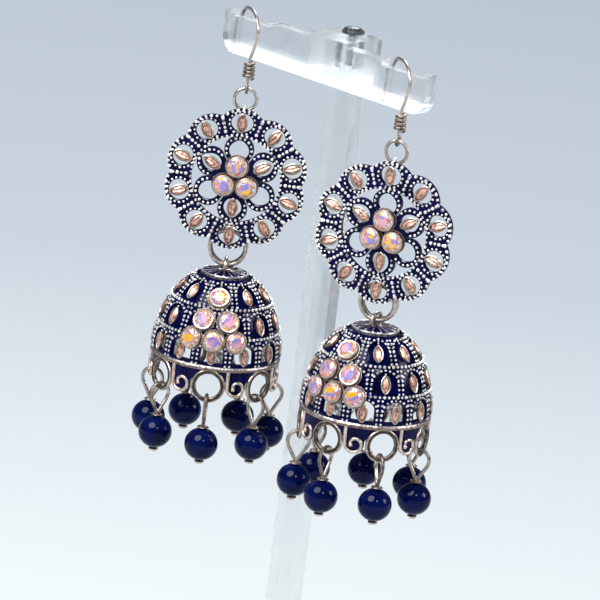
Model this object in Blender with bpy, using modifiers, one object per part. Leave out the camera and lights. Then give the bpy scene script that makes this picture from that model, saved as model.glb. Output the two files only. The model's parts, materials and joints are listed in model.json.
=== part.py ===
"""A pair of jhumka earrings hanging on a clear display stand.

Metres, +Z up. The stand's crossbar runs along X, its front is -Y, and the origin is under the middle of its base.
Each earring is a hook, a coil, a jump ring, a pierced rosette, two bail rings and a bell with bead drops.
"""

import math

import bmesh
import bpy
from mathutils import Matrix, Vector

# Gaps
SEAT_GAP = 0.0003
LINK_GAP = 0.00015

# Stand
BASE_LENGTH = 0.110
BASE_DEPTH = 0.070
BASE_THICKNESS = 0.006
BASE_BEVEL = 0.0012
POST_SIDE = 0.006
STAND_HEIGHT = 0.165
BAR_LENGTH = 0.066
BAR_HEIGHT = 0.010
BAR_THICKNESS = 0.0032
BAR_CORNER = 0.004
NOTCH_SPACING = 0.0495
NOTCH_WIDTH = 0.0140
NOTCH_DEPTH = 0.0012
BLOCK_WIDTH = 0.0125
BLOCK_DEPTH = 0.0126
POST_SETBACK = 0.0075
BLOCK_RISE = 0.0010
SCREW_HEAD_RADIUS = 0.0027
SCREW_HEAD_HEIGHT = 0.0016
SCREW_SHANK_RADIUS = 0.0012
SCREW_LENGTH = 0.0080

# Ear hook and its coil
HOOK_WIRE = 0.0008
HOOK_HEIGHT = 0.01835
HOOK_BULGE = 0.0032
HOOK_TURN = math.radians(62)
EYE_INNER_RADIUS = 0.00075
COIL_WIRE = 0.00078
COIL_TOP_RADIUS = 0.00095
COIL_BOTTOM_RADIUS = 0.00112
COIL_START = 0.0025
COIL_LENGTH = 0.0040
COIL_TURNS = 4.4

# Jump ring, bail rings and the loops soldered for them
JUMP_RING_RADIUS = 0.00265
JUMP_RING_WIRE = 0.0008
BAIL_RADIUS = 0.00425
BAIL_WIRE = 0.0011
LOOP_WIRE = 0.0007
TOP_LOOP_RADIUS = 0.00095
TOP_LOOP_INSET = 0.0006
BOTTOM_LOOP_INSET = 0.00405
CAP_LOOP_WIRE = 0.0009

# Rosette
ROSETTE_RADIUS = 0.0170
ROSETTE_NOTCH = 0.0155
PLATE_THICKNESS = 0.0012
LOBES = 10
LEAF_RISE = 0.00055
OUTER_LEAF_CENTRE = 0.0137
OUTER_LEAF_LENGTH = 0.0038
OUTER_LEAF_WIDTH = 0.0019
OUTER_CELL_RADIUS = 0.0027
INNER_LEAF_CENTRE = 0.0068
INNER_LEAF_LENGTH = 0.0042
INNER_LEAF_WIDTH = 0.0019
INNER_CELL_RADIUS = 0.00265
BEAD_BAND_RADIUS = 0.0110
BEAD_BAND_WIDTH = 0.0009
BEAD_BAND_RISE = 0.00035
PETAL_OPENING_CENTRE = 0.0074
PETAL_OPENING_SIZE = (0.0048, 0.0028)
CORNER_OPENING_CENTRE = 0.0093
CORNER_OPENING_SIZE = (0.0030, 0.0014)

# Round stones of the rosette and of the bell
STONE_RADIUS = 0.00220
STONE_TABLE = 0.60
STONE_CROWN = 0.0006
STONE_PAVILION = 0.0007
STONE_GIRDLE = 0.00015
BEZEL_WALL = 0.00035
BEZEL_HEIGHT = 0.0014
ROSETTE_STONE_ORBIT = 0.00318
CLUSTER_RISE = 0.00125

# Bell
BELL_RADIUS = 0.0152
BELL_HEIGHT = 0.0203
BELL_WALL = 0.0010
BELL_CURVE = 2.1
CAP_RADIUS = 0.0054
CAP_RISE = 0.0007
CAP_THICKNESS = 0.0012
CAP_CLEARANCE = 0.0009
BAND_SHARES = (0.03, 0.30, 0.62, 0.965)
BAND_WIDTH = 0.0007
BAND_RISE = 0.0003
CELLS = (9, 11, 12)
BELL_LEAF_LENGTH = 0.0036
BELL_LEAF_WIDTH = 0.0019
BELL_OPENING_WIDTH = 0.0018
BELL_OPENING_HEIGHT = 0.0038
CLUSTER_ROWS = ((0.195, (0.0,)), (0.43, (-12.5, 12.5)), (0.65, (-20.8, 0.0, 20.8)))

# Rings under the bell's rim, scroll plates and bead drops
DROPS = 7
RIM_RING_RADIUS = 0.0035
RIM_RING_WIRE = 0.0012
RIM_RING_SINK = 0.0003
SCROLL_WIDTH = 0.0058
SCROLL_DROP = 0.0062
SCROLL_THICKNESS = 0.0008
PIN_WIRE = 0.0008
PIN_LOOP_WIDTH = 0.0050
PIN_LOOP_HEIGHT = 0.0076
PIN_SHANK_RADIUS = 0.0003
PIN_HEAD_RADIUS = 0.00115
PIN_HEAD_HEIGHT = 0.0007
PIN_COLLAR_RADIUS = 0.0012
PIN_COLLAR_HEIGHT = 0.0003
BEAD_RADIUS = 0.0040
BEAD_HEIGHT = 0.0078
BEAD_HOLE_RADIUS = 0.0006
BEAD_GAP = 0.0002

# How the two earrings hang: place along the bar, and turns of the rosette and the bell about the plumb line
EARRINGS = {
    "left": {"x": -0.0225, "rosette_turn": math.radians(41), "bell_turn": math.radians(40)},
    "right": {"x": 0.0270, "rosette_turn": math.radians(23), "bell_turn": math.radians(10)},
}

# Sides of turned and swept shapes
LATHE_SIDES = 24
BEAD_SIDES = 10
STONE_SIDES = 8
RING_STEPS = 12
WIRE_SIDES = 6

COLOURS = {
    "clear_acrylic": ((0.90, 0.94, 0.97), 0.0, 0.05),
    "dark_screw": ((0.10, 0.11, 0.12), 0.6, 0.35),
    "silver": ((0.72, 0.69, 0.66), 1.0, 0.28),
    "silver_enamel": ((0.02, 0.02, 0.12), 0.2, 0.25),
    "crystal": ((0.92, 0.78, 0.72), 0.0, 0.05),
    "blue_bead": ((0.005, 0.008, 0.08), 0.0, 0.08),
}


def clear_scene():
    for obj in list(bpy.data.objects):
        bpy.data.objects.remove(obj, do_unlink=True)


def new_collection(name, helper=False):
    collection = bpy.data.collections.new(name)
    collection.hide_render = helper
    bpy.context.scene.collection.children.link(collection)
    return collection


def make_materials():
    found = {}
    for name, (colour, metallic, roughness) in COLOURS.items():
        material = bpy.data.materials.new(name)
        material.use_nodes = True
        shader = material.node_tree.nodes["Principled BSDF"]
        shader.inputs["Base Color"].default_value = (*colour, 1.0)
        shader.inputs["Metallic"].default_value = metallic
        shader.inputs["Roughness"].default_value = roughness
        found[name] = material
    return found


def helper_object(name, data):
    """A cutter or an ingredient, which is kept out of the finished parts."""
    obj = bpy.data.objects.new(name, data)
    obj.hide_render = True
    obj.display_type = "WIRE"
    bpy.data.collections["helpers"].objects.link(obj)
    return obj


def evaluated_mesh(obj):
    """The object's mesh with its modifiers and its place applied; the object itself is removed."""
    bpy.context.view_layer.update()
    graph = bpy.context.evaluated_depsgraph_get()
    mesh = bpy.data.meshes.new_from_object(obj.evaluated_get(graph))
    mesh.transform(obj.matrix_world)
    mesh.materials.clear()
    bpy.data.objects.remove(obj, do_unlink=True)
    return tidied(mesh)


def tidied(mesh):
    """The mesh with its doubles merged and its faces pointing out."""
    work = bmesh.new()
    work.from_mesh(mesh)
    bmesh.ops.remove_doubles(work, verts=work.verts, dist=1e-7)
    bmesh.ops.recalc_face_normals(work, faces=work.faces)
    work.to_mesh(mesh)
    work.free()
    return mesh


def turned(profile, sides, closed=False):
    """A solid of revolution about Z. The profile is (radius, height) pairs, running down its outer side."""
    count = len(profile)
    edges = [(i, i + 1) for i in range(count - 1)]
    if closed:
        edges.append((count - 1, 0))
    mesh = bpy.data.meshes.new("profile")
    mesh.from_pydata([(radius, 0.0, height) for radius, height in profile], edges, [])
    obj = helper_object("turned", mesh)
    screw = obj.modifiers.new("turn", "SCREW")
    screw.axis = "Z"
    screw.steps = sides
    screw.render_steps = sides
    screw.use_merge_vertices = True
    screw.merge_threshold = 1e-6
    return evaluated_mesh(obj)


def wire(points, diameter, closed=False, resolution=1):
    """A round wire along a polyline: 6 sides at resolution 1, and 8 at resolution 2."""
    curve = bpy.data.curves.new("wire", "CURVE")
    curve.dimensions = "3D"
    curve.bevel_depth = diameter / 2
    curve.bevel_resolution = resolution
    curve.use_fill_caps = not closed
    spline = curve.splines.new("POLY")
    spline.points.add(len(points) - 1)
    for spline_point, point in zip(spline.points, points):
        spline_point.co = (*point, 1.0)
    spline.use_cyclic_u = closed
    return evaluated_mesh(helper_object("wire", curve))


def flat_plate(outlines, thickness):
    """A plate in the XZ plane, half its thickness either side of Y = 0. Every outline after the first is a hole."""
    curve = bpy.data.curves.new("plate", "CURVE")
    curve.dimensions = "2D"
    curve.fill_mode = "BOTH"
    curve.extrude = thickness / 2
    for outline in outlines:
        spline = curve.splines.new("POLY")
        spline.points.add(len(outline) - 1)
        for spline_point, (x, z) in zip(spline.points, outline):
            spline_point.co = (x, z, 0.0, 1.0)
        spline.use_cyclic_u = True
    mesh = evaluated_mesh(helper_object("plate", curve))
    mesh.transform(Matrix.Rotation(math.pi / 2, 4, "X"))
    return mesh


def torus(major, minor, steps, sides=WIRE_SIDES, stretch=1.0):
    """A ring in the XZ plane; stretch makes its height unlike its width."""
    points = []
    for i in range(steps):
        angle = 2 * math.pi * i / steps
        points.append((major * math.cos(angle), 0.0, major * stretch * math.sin(angle)))
    return wire(points, 2 * minor, closed=True, resolution=(sides - 4) // 2)


def moved(mesh, *steps):
    """A copy of the mesh, put through the matrices in order."""
    copy = mesh.copy()
    for step in steps:
        copy.transform(step)
    return copy


def shift(x=0.0, y=0.0, z=0.0):
    return Matrix.Translation((x, y, z))


def turn_z(angle):
    return Matrix.Rotation(angle, 4, "Z")


def combined(base, others, operation):
    """The base mesh with the other meshes fused to it (UNION) or cut from it (DIFFERENCE)."""
    target = helper_object("base", base)
    group = bpy.data.collections.new("operands")
    bpy.data.collections["helpers"].children.link(group)
    tools = []
    for mesh in others:
        tool = bpy.data.objects.new("operand", mesh)
        group.objects.link(tool)
        tools.append(tool)
    boolean = target.modifiers.new("join", "BOOLEAN")
    boolean.operation = operation
    boolean.operand_type = "COLLECTION"
    boolean.collection = group
    boolean.solver = "EXACT"
    result = evaluated_mesh(target)
    for tool in tools:
        bpy.data.objects.remove(tool, do_unlink=True)
    bpy.data.collections.remove(group)
    return result


def leaf_mesh(length, width, rise, sink):
    """A raised marquise leaf: a four-sided pyramid with its long way along Z, rising towards -Y from the plate."""
    work = bmesh.new()
    bmesh.ops.create_cone(work, cap_ends=True, segments=4, radius1=1.0, radius2=0.0, depth=1.0)
    mesh = bpy.data.meshes.new("leaf")
    work.to_mesh(mesh)
    work.free()
    mesh.transform(shift(z=0.5))
    mesh.transform(Matrix.Diagonal((length / 2, width / 2, rise + sink, 1.0)))
    mesh.transform(Matrix.Rotation(math.pi / 2, 4, "Z"))
    mesh.transform(Matrix.Rotation(math.pi / 2, 4, "X"))
    mesh.transform(shift(y=sink))
    return tidied(mesh)


def crescent(length, leaf_width, cell_radius, side):
    """The outline of the opening beside a leaf, in the leaf's own (across, along) directions."""
    rim = 0.00018
    ends = 0.42 * length
    inner = [(leaf_width / 2 * (1 - (along / length) ** 2 * 3.2) + rim, along) for along in (-ends, 0.0, ends)]
    outer = []
    for share in (0.75, 0.0, -0.75):
        along = share * cell_radius * 0.82
        outer.append((math.sqrt(cell_radius**2 - along**2) - rim, along))
    outline = inner + outer
    return [(side * across, along) for across, along in outline]


def polar_outline(outline, radius, angle):
    """An outline put at a radius and a compass angle (clockwise from straight up) on the rosette's face."""
    placed = []
    for across, along in outline:
        out = radius + along
        placed.append(
            (
                out * math.sin(angle) + across * math.cos(angle),
                out * math.cos(angle) - across * math.sin(angle),
            )
        )
    return placed


def ellipse_outline(size, count):
    steps = [2 * math.pi * (i + 0.5) / count for i in range(count)]
    return [(size[0] / 2 * math.cos(a), size[1] / 2 * math.sin(a)) for a in steps]


def scalloped_outline():
    """The rosette's edge: a round lobe for each outer leaf, with a shallow notch between lobes."""
    points = []
    per_lobe = 3
    for i in range(LOBES * per_lobe):
        share = (i % per_lobe) / per_lobe
        swell = math.sin(math.pi * share) ** 0.5
        radius = ROSETTE_NOTCH + (ROSETTE_RADIUS - ROSETTE_NOTCH) * swell
        angle = 2 * math.pi * (i / per_lobe - 0.5) / LOBES
        points.append((radius * math.sin(angle), radius * math.cos(angle)))
    return points


def rosette_openings():
    """The rosette's gaps: two by each leaf, a wide one in three petals, and one at each corner of the flower."""
    holes = []
    for i in range(LOBES):
        angle = 2 * math.pi * i / LOBES
        for side in (-1, 1):
            outline = crescent(OUTER_LEAF_LENGTH, OUTER_LEAF_WIDTH, OUTER_CELL_RADIUS, side)
            holes.append(polar_outline(outline, OUTER_LEAF_CENTRE, angle))
    for i in range(3):
        angle = 2 * math.pi * i / 3
        holes.append(polar_outline(ellipse_outline(PETAL_OPENING_SIZE, 6), PETAL_OPENING_CENTRE, angle))
        for side in (-1, 1):
            outline = crescent(INNER_LEAF_LENGTH, INNER_LEAF_WIDTH, INNER_CELL_RADIUS, side)
            holes.append(polar_outline(outline, INNER_LEAF_CENTRE, angle + math.pi / 3))
    for i in range(6):
        angle = 2 * math.pi * (i + 0.5) / 6
        wide, high = CORNER_OPENING_SIZE
        outline = [(-wide / 2, high / 2), (0.0, high * 0.72), (wide / 2, high / 2), (0.0, -high / 2)]
        holes.append(polar_outline(outline, CORNER_OPENING_CENTRE, angle))
    return holes


def bezel_mesh(height, floor):
    """A round cup for a stone, opening towards -Y, with its floor sunk into the plate behind it."""
    outer = STONE_RADIUS + LINK_GAP + BEZEL_WALL
    inner = STONE_RADIUS + LINK_GAP
    profile = [(0.0, floor), (inner, floor), (inner, height), (outer, height), (outer, -SEAT_GAP), (0.0, -SEAT_GAP)]
    mesh = turned(profile, STONE_SIDES)
    mesh.transform(Matrix.Rotation(math.pi / 2, 4, "X"))
    return mesh


def stone_mesh(seat):
    """A round cut stone looking towards -Y: a table, a crown facet for each side, a girdle and a pavilion."""
    girdle = seat + STONE_PAVILION
    profile = [
        (0.0, girdle + STONE_GIRDLE + STONE_CROWN),
        (STONE_RADIUS * STONE_TABLE, girdle + STONE_GIRDLE + STONE_CROWN),
        (STONE_RADIUS, girdle + STONE_GIRDLE),
        (STONE_RADIUS, girdle),
        (0.0, seat),
    ]
    mesh = turned(profile, STONE_SIDES)
    mesh.transform(Matrix.Rotation(math.pi / 2, 4, "X"))
    return mesh


def stone_places():
    """The centres (x, z) of the rosette's three stones."""
    angles = [2 * math.pi * i / 3 for i in range(3)]
    return [(ROSETTE_STONE_ORBIT * math.sin(a), ROSETTE_STONE_ORBIT * math.cos(a)) for a in angles]


def rosette_mesh():
    """The pierced, scalloped plate with its leaves, bead band and bezels raised and both loops soldered on."""
    plate = flat_plate([scalloped_outline()] + rosette_openings(), PLATE_THICKNESS)
    front = -PLATE_THICKNESS / 2
    additions = []
    outer_leaf = leaf_mesh(OUTER_LEAF_LENGTH, OUTER_LEAF_WIDTH, LEAF_RISE, LINK_GAP)
    for i in range(LOBES):
        angle = 2 * math.pi * i / LOBES
        turn = Matrix.Rotation(angle, 4, "Y")
        additions.append(moved(outer_leaf, shift(y=front, z=OUTER_LEAF_CENTRE), turn))
    inner_leaf = leaf_mesh(INNER_LEAF_LENGTH, INNER_LEAF_WIDTH, LEAF_RISE, LINK_GAP)
    for i in range(3):
        turn = Matrix.Rotation(2 * math.pi * (i + 0.5) / 3, 4, "Y")
        additions.append(moved(inner_leaf, shift(y=front, z=INNER_LEAF_CENTRE), turn))
    half = BEAD_BAND_WIDTH / 2
    band = turned(
        [
            (BEAD_BAND_RADIUS - half, -LINK_GAP),
            (BEAD_BAND_RADIUS, BEAD_BAND_RISE),
            (BEAD_BAND_RADIUS + half, -LINK_GAP),
        ],
        2 * LOBES,
        closed=True,
    )
    additions.append(moved(band, Matrix.Rotation(math.pi / 2, 4, "X"), shift(y=front)))
    bezel = bezel_mesh(BEZEL_HEIGHT, SEAT_GAP)
    for x, z in stone_places():
        additions.append(moved(bezel, shift(x, front, z)))
    top = torus(TOP_LOOP_RADIUS, LOOP_WIRE / 2, 8)
    additions.append(moved(top, turn_z(math.pi / 2), shift(0.0, jump_ring_y(), ROSETTE_RADIUS - TOP_LOOP_INSET)))
    bottom = torus(bottom_loop_width() / 2, LOOP_WIRE / 2, 10, stretch=bottom_loop_stretch())
    additions.append(moved(bottom, turn_z(math.pi / 2), shift(0.0, bail_y(), -bottom_loop_drop())))
    return combined(plate, additions, "UNION")


def jump_ring_y():
    """The jump ring hangs behind the plate."""
    return PLATE_THICKNESS / 2 + JUMP_RING_WIRE / 2 + SEAT_GAP + LINK_GAP + 0.00005


def jump_ring_z():
    return ROSETTE_RADIUS - TOP_LOOP_INSET + JUMP_RING_RADIUS


def bail_spacing():
    return BAIL_WIRE + SEAT_GAP


def bail_y():
    """The middle of the two bail rings, which hang side by side behind the plate."""
    return PLATE_THICKNESS / 2 + SEAT_GAP + BAIL_WIRE / 2 + bail_spacing() / 2


def bottom_loop_drop():
    return ROSETTE_RADIUS - BOTTOM_LOOP_INSET


def bottom_loop_width():
    """The loop's mean width front to back: both rings, a link gap at each side and its own wire."""
    return bail_spacing() + BAIL_WIRE + 2 * LINK_GAP + LOOP_WIRE


def bottom_loop_stretch():
    return (BAIL_WIRE / 2 + LINK_GAP + 0.00005 + LOOP_WIRE / 2) / (bottom_loop_width() / 2)


def bail_centre_z():
    return -bottom_loop_drop() - BAIL_RADIUS


def drop_hinge():
    """Where the rosette swings: the top of the jump ring's wire, in the rosette's own frame."""
    return Vector((0.0, jump_ring_y(), jump_ring_z() + JUMP_RING_RADIUS))


def bell_hinge():
    """Where the bell swings: between the bottoms of the two bail rings, in the rosette's own frame."""
    return Vector((0.0, bail_y(), bail_centre_z() - BAIL_RADIUS))


def cap_edge_z():
    """The height of the cap's edge in the bell's frame, whose origin is the bell's hinge."""
    return -(BAIL_WIRE / 2 + CAP_CLEARANCE + CAP_RISE)


def bell_outer_radius(share):
    """The bell's outer radius at a share of its height below the cap: a superellipse that is widest at the rim."""
    full = BELL_HEIGHT / (1 - (CAP_RADIUS / BELL_RADIUS) ** BELL_CURVE) ** (1 / BELL_CURVE)
    rise = BELL_HEIGHT * (1 - share) / full
    return BELL_RADIUS * (1 - rise**BELL_CURVE) ** (1 / BELL_CURVE)


def bell_slope(share):
    """The angle of the bell's outer wall from plumb at a share of its height, leaning back towards the top."""
    step = 0.01
    low, high = max(share - step, 0.0), min(share + step, 1.0)
    widening = bell_outer_radius(high) - bell_outer_radius(low)
    return math.atan2(widening, (high - low) * BELL_HEIGHT)


def bell_profile():
    """The bell's section: the cap, the outer wall with its raised bands, the rim and the hollow inside."""
    edge = cap_edge_z()
    outer = [(0.0, edge + CAP_RISE), (CAP_RADIUS, edge)]
    shoulder = BAND_SHARES[1] * 0.42
    outer.append((bell_outer_radius(shoulder), edge - shoulder * BELL_HEIGHT))
    for band in BAND_SHARES[1:]:
        half = BAND_WIDTH / 2 / BELL_HEIGHT
        for share, rise in ((band - half, 0.0), (band, BAND_RISE), (min(band + half, 1.0), 0.0)):
            outer.append((bell_outer_radius(share) + rise, edge - share * BELL_HEIGHT))
    rim = [(BELL_RADIUS - BELL_WALL, edge - BELL_HEIGHT)]
    inner = []
    for share in (BAND_SHARES[2], BAND_SHARES[1], 0.10):
        radius = bell_outer_radius(share) - BELL_WALL / math.cos(bell_slope(share))
        inner.append((radius, edge - share * BELL_HEIGHT))
    return outer + rim + inner + [(0.0, edge - CAP_THICKNESS)]


def on_bell(share, angle):
    """The matrix that takes a piece facing -Y at the origin to the bell's wall, facing out."""
    lean = Matrix.Rotation(-bell_slope(share), 4, "X")
    out = shift(y=-bell_outer_radius(share), z=cap_edge_z() - share * BELL_HEIGHT)
    return turn_z(angle) @ out @ lean


def row_share(row):
    return (BAND_SHARES[row] + BAND_SHARES[row + 1]) / 2


def bell_openings():
    """The cutters of the bottom row: one gap on each side of every leaf."""
    cutters = []
    share = row_share(2)
    radius = bell_outer_radius(share)
    wide, high = BELL_OPENING_WIDTH, BELL_OPENING_HEIGHT
    outline = [(0.0, -high / 2), (wide, -high / 2), (wide, high * 0.2), (0.0, high / 2)]
    start = BELL_LEAF_WIDTH / 2 + LINK_GAP
    for i in range(CELLS[2]):
        for side in (-1, 1):
            placed = [(side * (start + across), along) for across, along in outline]
            cutter = flat_plate([placed], 6 * BELL_WALL)
            cutter.transform(shift(y=-radius, z=cap_edge_z() - share * BELL_HEIGHT))
            cutter.transform(turn_z(2 * math.pi * i / CELLS[2]))
            cutters.append(tidied(cutter))
    return cutters


def near_cluster(row, angle):
    """Whether the stone cluster covers a leaf."""
    reach = (0.45, 0.62, 0.0)[row]
    folded = (angle + math.pi) % (2 * math.pi) - math.pi
    return abs(folded) < reach


def scroll_outline():
    """The outline of a scroll plate hanging from the rim: square above, round below."""
    half = SCROLL_WIDTH / 2
    points = [(-half, RIM_RING_SINK * 2), (half, RIM_RING_SINK * 2)]
    for i in range(5):
        angle = math.pi * i / 4
        points.append((half * math.cos(angle), -SCROLL_DROP + half - half * math.sin(angle)))
    return points


def rim_ring_z():
    return cap_edge_z() - BELL_HEIGHT + RIM_RING_SINK - RIM_RING_RADIUS - RIM_RING_WIRE / 2


def rim_ring_orbit():
    return BELL_RADIUS - BELL_WALL / 2


def bell_mesh():
    """The bell with its openings cut, its leaves raised and its cap loop, rim rings and scroll plates soldered on."""
    shell = turned(bell_profile(), LATHE_SIDES)
    shell = combined(shell, bell_openings(), "DIFFERENCE")
    additions = []
    leaf = leaf_mesh(BELL_LEAF_LENGTH, BELL_LEAF_WIDTH, LEAF_RISE, BELL_WALL / 2)
    for row, count in enumerate(CELLS):
        share = row_share(row)
        for i in range(count):
            angle = 2 * math.pi * (i + 0.5 * (row == 1)) / count
            if not near_cluster(row, angle):
                additions.append(moved(leaf, on_bell(share, angle)))
    stone = set_stone_mesh()
    for share, angles in CLUSTER_ROWS:
        for degrees in angles:
            additions.append(moved(stone, on_bell(share, math.radians(degrees))))
    ring = torus(RIM_RING_RADIUS, RIM_RING_WIRE / 2, 10)
    scroll = flat_plate([scroll_outline()], SCROLL_THICKNESS)
    rim_z = cap_edge_z() - BELL_HEIGHT
    for i in range(DROPS):
        angle = 2 * math.pi * i / DROPS
        additions.append(moved(ring, shift(0.0, -rim_ring_orbit(), rim_ring_z()), turn_z(angle)))
        half_step = math.pi / DROPS
        plate_orbit = rim_ring_orbit() * math.cos(0.35 * half_step)
        additions.append(moved(scroll, shift(0.0, -plate_orbit, rim_z), turn_z(angle + half_step)))
    loop = torus(cap_loop_half_width(), CAP_LOOP_WIRE / 2, 10, stretch=cap_loop_stretch())
    additions.append(moved(loop, turn_z(math.pi / 2), shift(z=cap_loop_z())))
    return combined(shell, additions, "UNION")


def cap_loop_half_width():
    """Room for both bail rings to rock inside the loop."""
    return bail_spacing() / 2 + BAIL_WIRE / 2 + SEAT_GAP + LINK_GAP + CAP_LOOP_WIRE / 2


def cap_loop_top():
    return BAIL_WIRE / 2 + SEAT_GAP + LINK_GAP + CAP_LOOP_WIRE / 2


def cap_loop_z():
    """The middle of the loop, whose foot is inside the cap."""
    return (cap_loop_top() + cap_edge_z()) / 2


def cap_loop_stretch():
    return (cap_loop_top() - cap_edge_z()) / 2 / cap_loop_half_width()


def set_stone_mesh():
    """A cut stone in its bezel, as one solid facing -Y: a skirt sunk into the bell, the bezel's lip and the stone."""
    lip = STONE_RADIUS + BEZEL_WALL
    profile = [
        (0.0, CLUSTER_RISE + STONE_CROWN * 0.6),
        (STONE_RADIUS * STONE_TABLE, CLUSTER_RISE + STONE_CROWN * 0.6),
        (STONE_RADIUS, CLUSTER_RISE - STONE_CROWN * 0.4),
        (lip, CLUSTER_RISE),
        (lip, -BELL_WALL * 0.8),
        (0.0, -BELL_WALL * 0.8),
    ]
    mesh = turned(profile, STONE_SIDES)
    mesh.transform(Matrix.Rotation(math.pi / 2, 4, "X"))
    return mesh


def pin_loop_top():
    """The height of the top of a pin's loop, which hangs on the bottom of a rim ring."""
    return rim_ring_z() - RIM_RING_RADIUS + RIM_RING_WIRE / 2 + PIN_WIRE / 2 + LINK_GAP


def bead_top_z():
    return pin_loop_top() - PIN_LOOP_HEIGHT - PIN_COLLAR_HEIGHT - BEAD_GAP


def pin_mesh():
    """A wire loop shaped like a kite, a collar, a shank and a round head, in one piece, hanging from the origin."""
    half = PIN_LOOP_WIDTH / 2
    points = []
    for i in range(7):
        angle = math.radians(-25 + i * 230 / 6)
        points.append((0.0, half * math.cos(angle), half * math.sin(angle) - half))
    points.append((0.0, 0.0, -PIN_LOOP_HEIGHT))
    loop = wire(points, PIN_WIRE, closed=True)
    collar = -PIN_LOOP_HEIGHT
    bead_foot = collar - PIN_COLLAR_HEIGHT - 2 * BEAD_GAP - BEAD_HEIGHT
    profile = [
        (0.0, collar + PIN_WIRE / 2),
        (PIN_COLLAR_RADIUS, collar),
        (PIN_COLLAR_RADIUS, collar - PIN_COLLAR_HEIGHT),
        (PIN_SHANK_RADIUS, collar - PIN_COLLAR_HEIGHT),
        (PIN_SHANK_RADIUS, bead_foot),
        (PIN_HEAD_RADIUS, bead_foot),
        (0.0, bead_foot - PIN_HEAD_HEIGHT),
    ]
    return combined(loop, [turned(profile, 6)], "UNION")


def bead_mesh():
    """A round, slightly flattened bead drilled along Z, with its top at the origin."""
    start = math.asin(BEAD_HOLE_RADIUS / BEAD_RADIUS)
    steps = 6
    profile = []
    for i in range(steps):
        angle = start + (math.pi - 2 * start) * i / (steps - 1)
        profile.append((BEAD_RADIUS * math.sin(angle), BEAD_HEIGHT / 2 * (math.cos(angle) - 1)))
    return turned(profile, BEAD_SIDES, closed=True)


def hook_lean():
    """How far along the hook its plumb line is in front of the crossbar's middle."""
    return (BAR_THICKNESS / 2 + HOOK_WIRE / 2 + SEAT_GAP) / math.cos(HOOK_TURN)


def hook_arch():
    """The hook's wire above its coil, as (forward, up) pairs from the drop's hinge."""
    back = -2 * hook_lean() - SEAT_GAP
    start = COIL_START + COIL_LENGTH + COIL_WIRE / 2
    span = HOOK_HEIGHT - start
    front_leg = ((0.0, 0.0), (0.10, 0.09), (0.55, 0.28), (0.93, 0.50), (0.95, 0.70), (0.45, 0.89))
    back_leg = (
        (0.13, 0.99),
        (0.40, 1.00),
        (0.70, 0.955),
        (0.92, 0.80),
        (1.00, 0.57),
        (1.00, 0.30),
        (1.02, 0.10),
        (1.12, -0.05),
    )
    points = [(HOOK_BULGE * forward, start + span * up) for forward, up in front_leg]
    points += [(back * backward, start + span * up) for backward, up in back_leg]
    return points


def eye_radius():
    return EYE_INNER_RADIUS + HOOK_WIRE / 2


def eye_z():
    """The eye's middle, so that the jump ring hangs just inside its bottom."""
    return EYE_INNER_RADIUS - JUMP_RING_WIRE / 2 - LINK_GAP


def hook_mesh(rosette_turn):
    """The hook: an open eye square to the jump ring, a stem and the arch, which is turned towards the crossbar."""
    points = []
    eye_way = Vector((math.sin(rosette_turn), -math.cos(rosette_turn), 0.0))
    for degrees in (35, 5, -25, -55, -85, -115, -145, -175, 155, 128):
        angle = math.radians(degrees)
        across = eye_radius() * math.cos(angle)
        points.append(eye_way * across + Vector((0.0, 0.0, eye_z() + eye_radius() * math.sin(angle))))
    points.append(Vector((0.0, 0.0, eye_z() + eye_radius() + HOOK_WIRE)))
    arch_way = Vector((math.sin(HOOK_TURN), -math.cos(HOOK_TURN), 0.0))
    for forward, up in hook_arch():
        points.append(arch_way * forward + Vector((0.0, 0.0, up)))
    return wire(points, HOOK_WIRE)


def coil_mesh():
    """A short coil of wire round the hook's stem, wider at its foot."""
    steps = round(COIL_TURNS * 8)
    points = []
    for i in range(steps + 1):
        share = i / steps
        angle = 2 * math.pi * COIL_TURNS * share
        radius = COIL_BOTTOM_RADIUS + (COIL_TOP_RADIUS - COIL_BOTTOM_RADIUS) * share
        points.append((radius * math.cos(angle), radius * math.sin(angle), COIL_START + COIL_LENGTH * share))
    return wire(points, COIL_WIRE, resolution=0)


def notch_floor():
    """How far the notch's floor is above the drop's hinge: just under the arch where it crosses the crossbar."""
    middle = -hook_lean()
    reach = (BAR_THICKNESS / 2) / math.cos(HOOK_TURN) + HOOK_WIRE / 2
    points = hook_arch()
    lowest = HOOK_HEIGHT
    for (p0, z0), (p1, z1) in zip(points, points[1:]):
        slope = math.hypot(p1 - p0, z1 - z0) / max(abs(p1 - p0), 1e-6)
        for i in range(11):
            forward = p0 + (p1 - p0) * i / 10
            up = z0 + (z1 - z0) * i / 10
            above = up > points[0][1] + 0.5 * (HOOK_HEIGHT - points[0][1])
            if abs(forward - middle) <= reach and above:
                lowest = min(lowest, up - HOOK_WIRE / 2 * min(slope, 1.6))
    return lowest - SEAT_GAP


def drop_hinge_z():
    return STAND_HEIGHT - NOTCH_DEPTH - notch_floor()


def base_mesh():
    """The stand's base: a slab with its edges bevelled."""
    bpy.ops.mesh.primitive_cube_add(size=1.0)
    cube = bpy.context.object
    cube.data.transform(Matrix.Diagonal((BASE_LENGTH, BASE_DEPTH, BASE_THICKNESS, 1.0)))
    cube.data.transform(shift(z=BASE_THICKNESS / 2))
    bevel = cube.modifiers.new("edges", "BEVEL")
    bevel.width = BASE_BEVEL
    bevel.segments = 1
    return evaluated_mesh(cube)


def post_mesh():
    """The square post, from the base to the block behind the crossbar."""
    foot = BASE_THICKNESS + SEAT_GAP
    height = STAND_HEIGHT - BAR_HEIGHT - SEAT_GAP - foot
    bpy.ops.mesh.primitive_cube_add(size=1.0)
    cube = bpy.context.object
    cube.data.transform(Matrix.Diagonal((POST_SIDE, POST_SIDE, height, 1.0)))
    cube.data.transform(shift(y=POST_SETBACK, z=foot + height / 2))
    return evaluated_mesh(cube)


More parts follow.
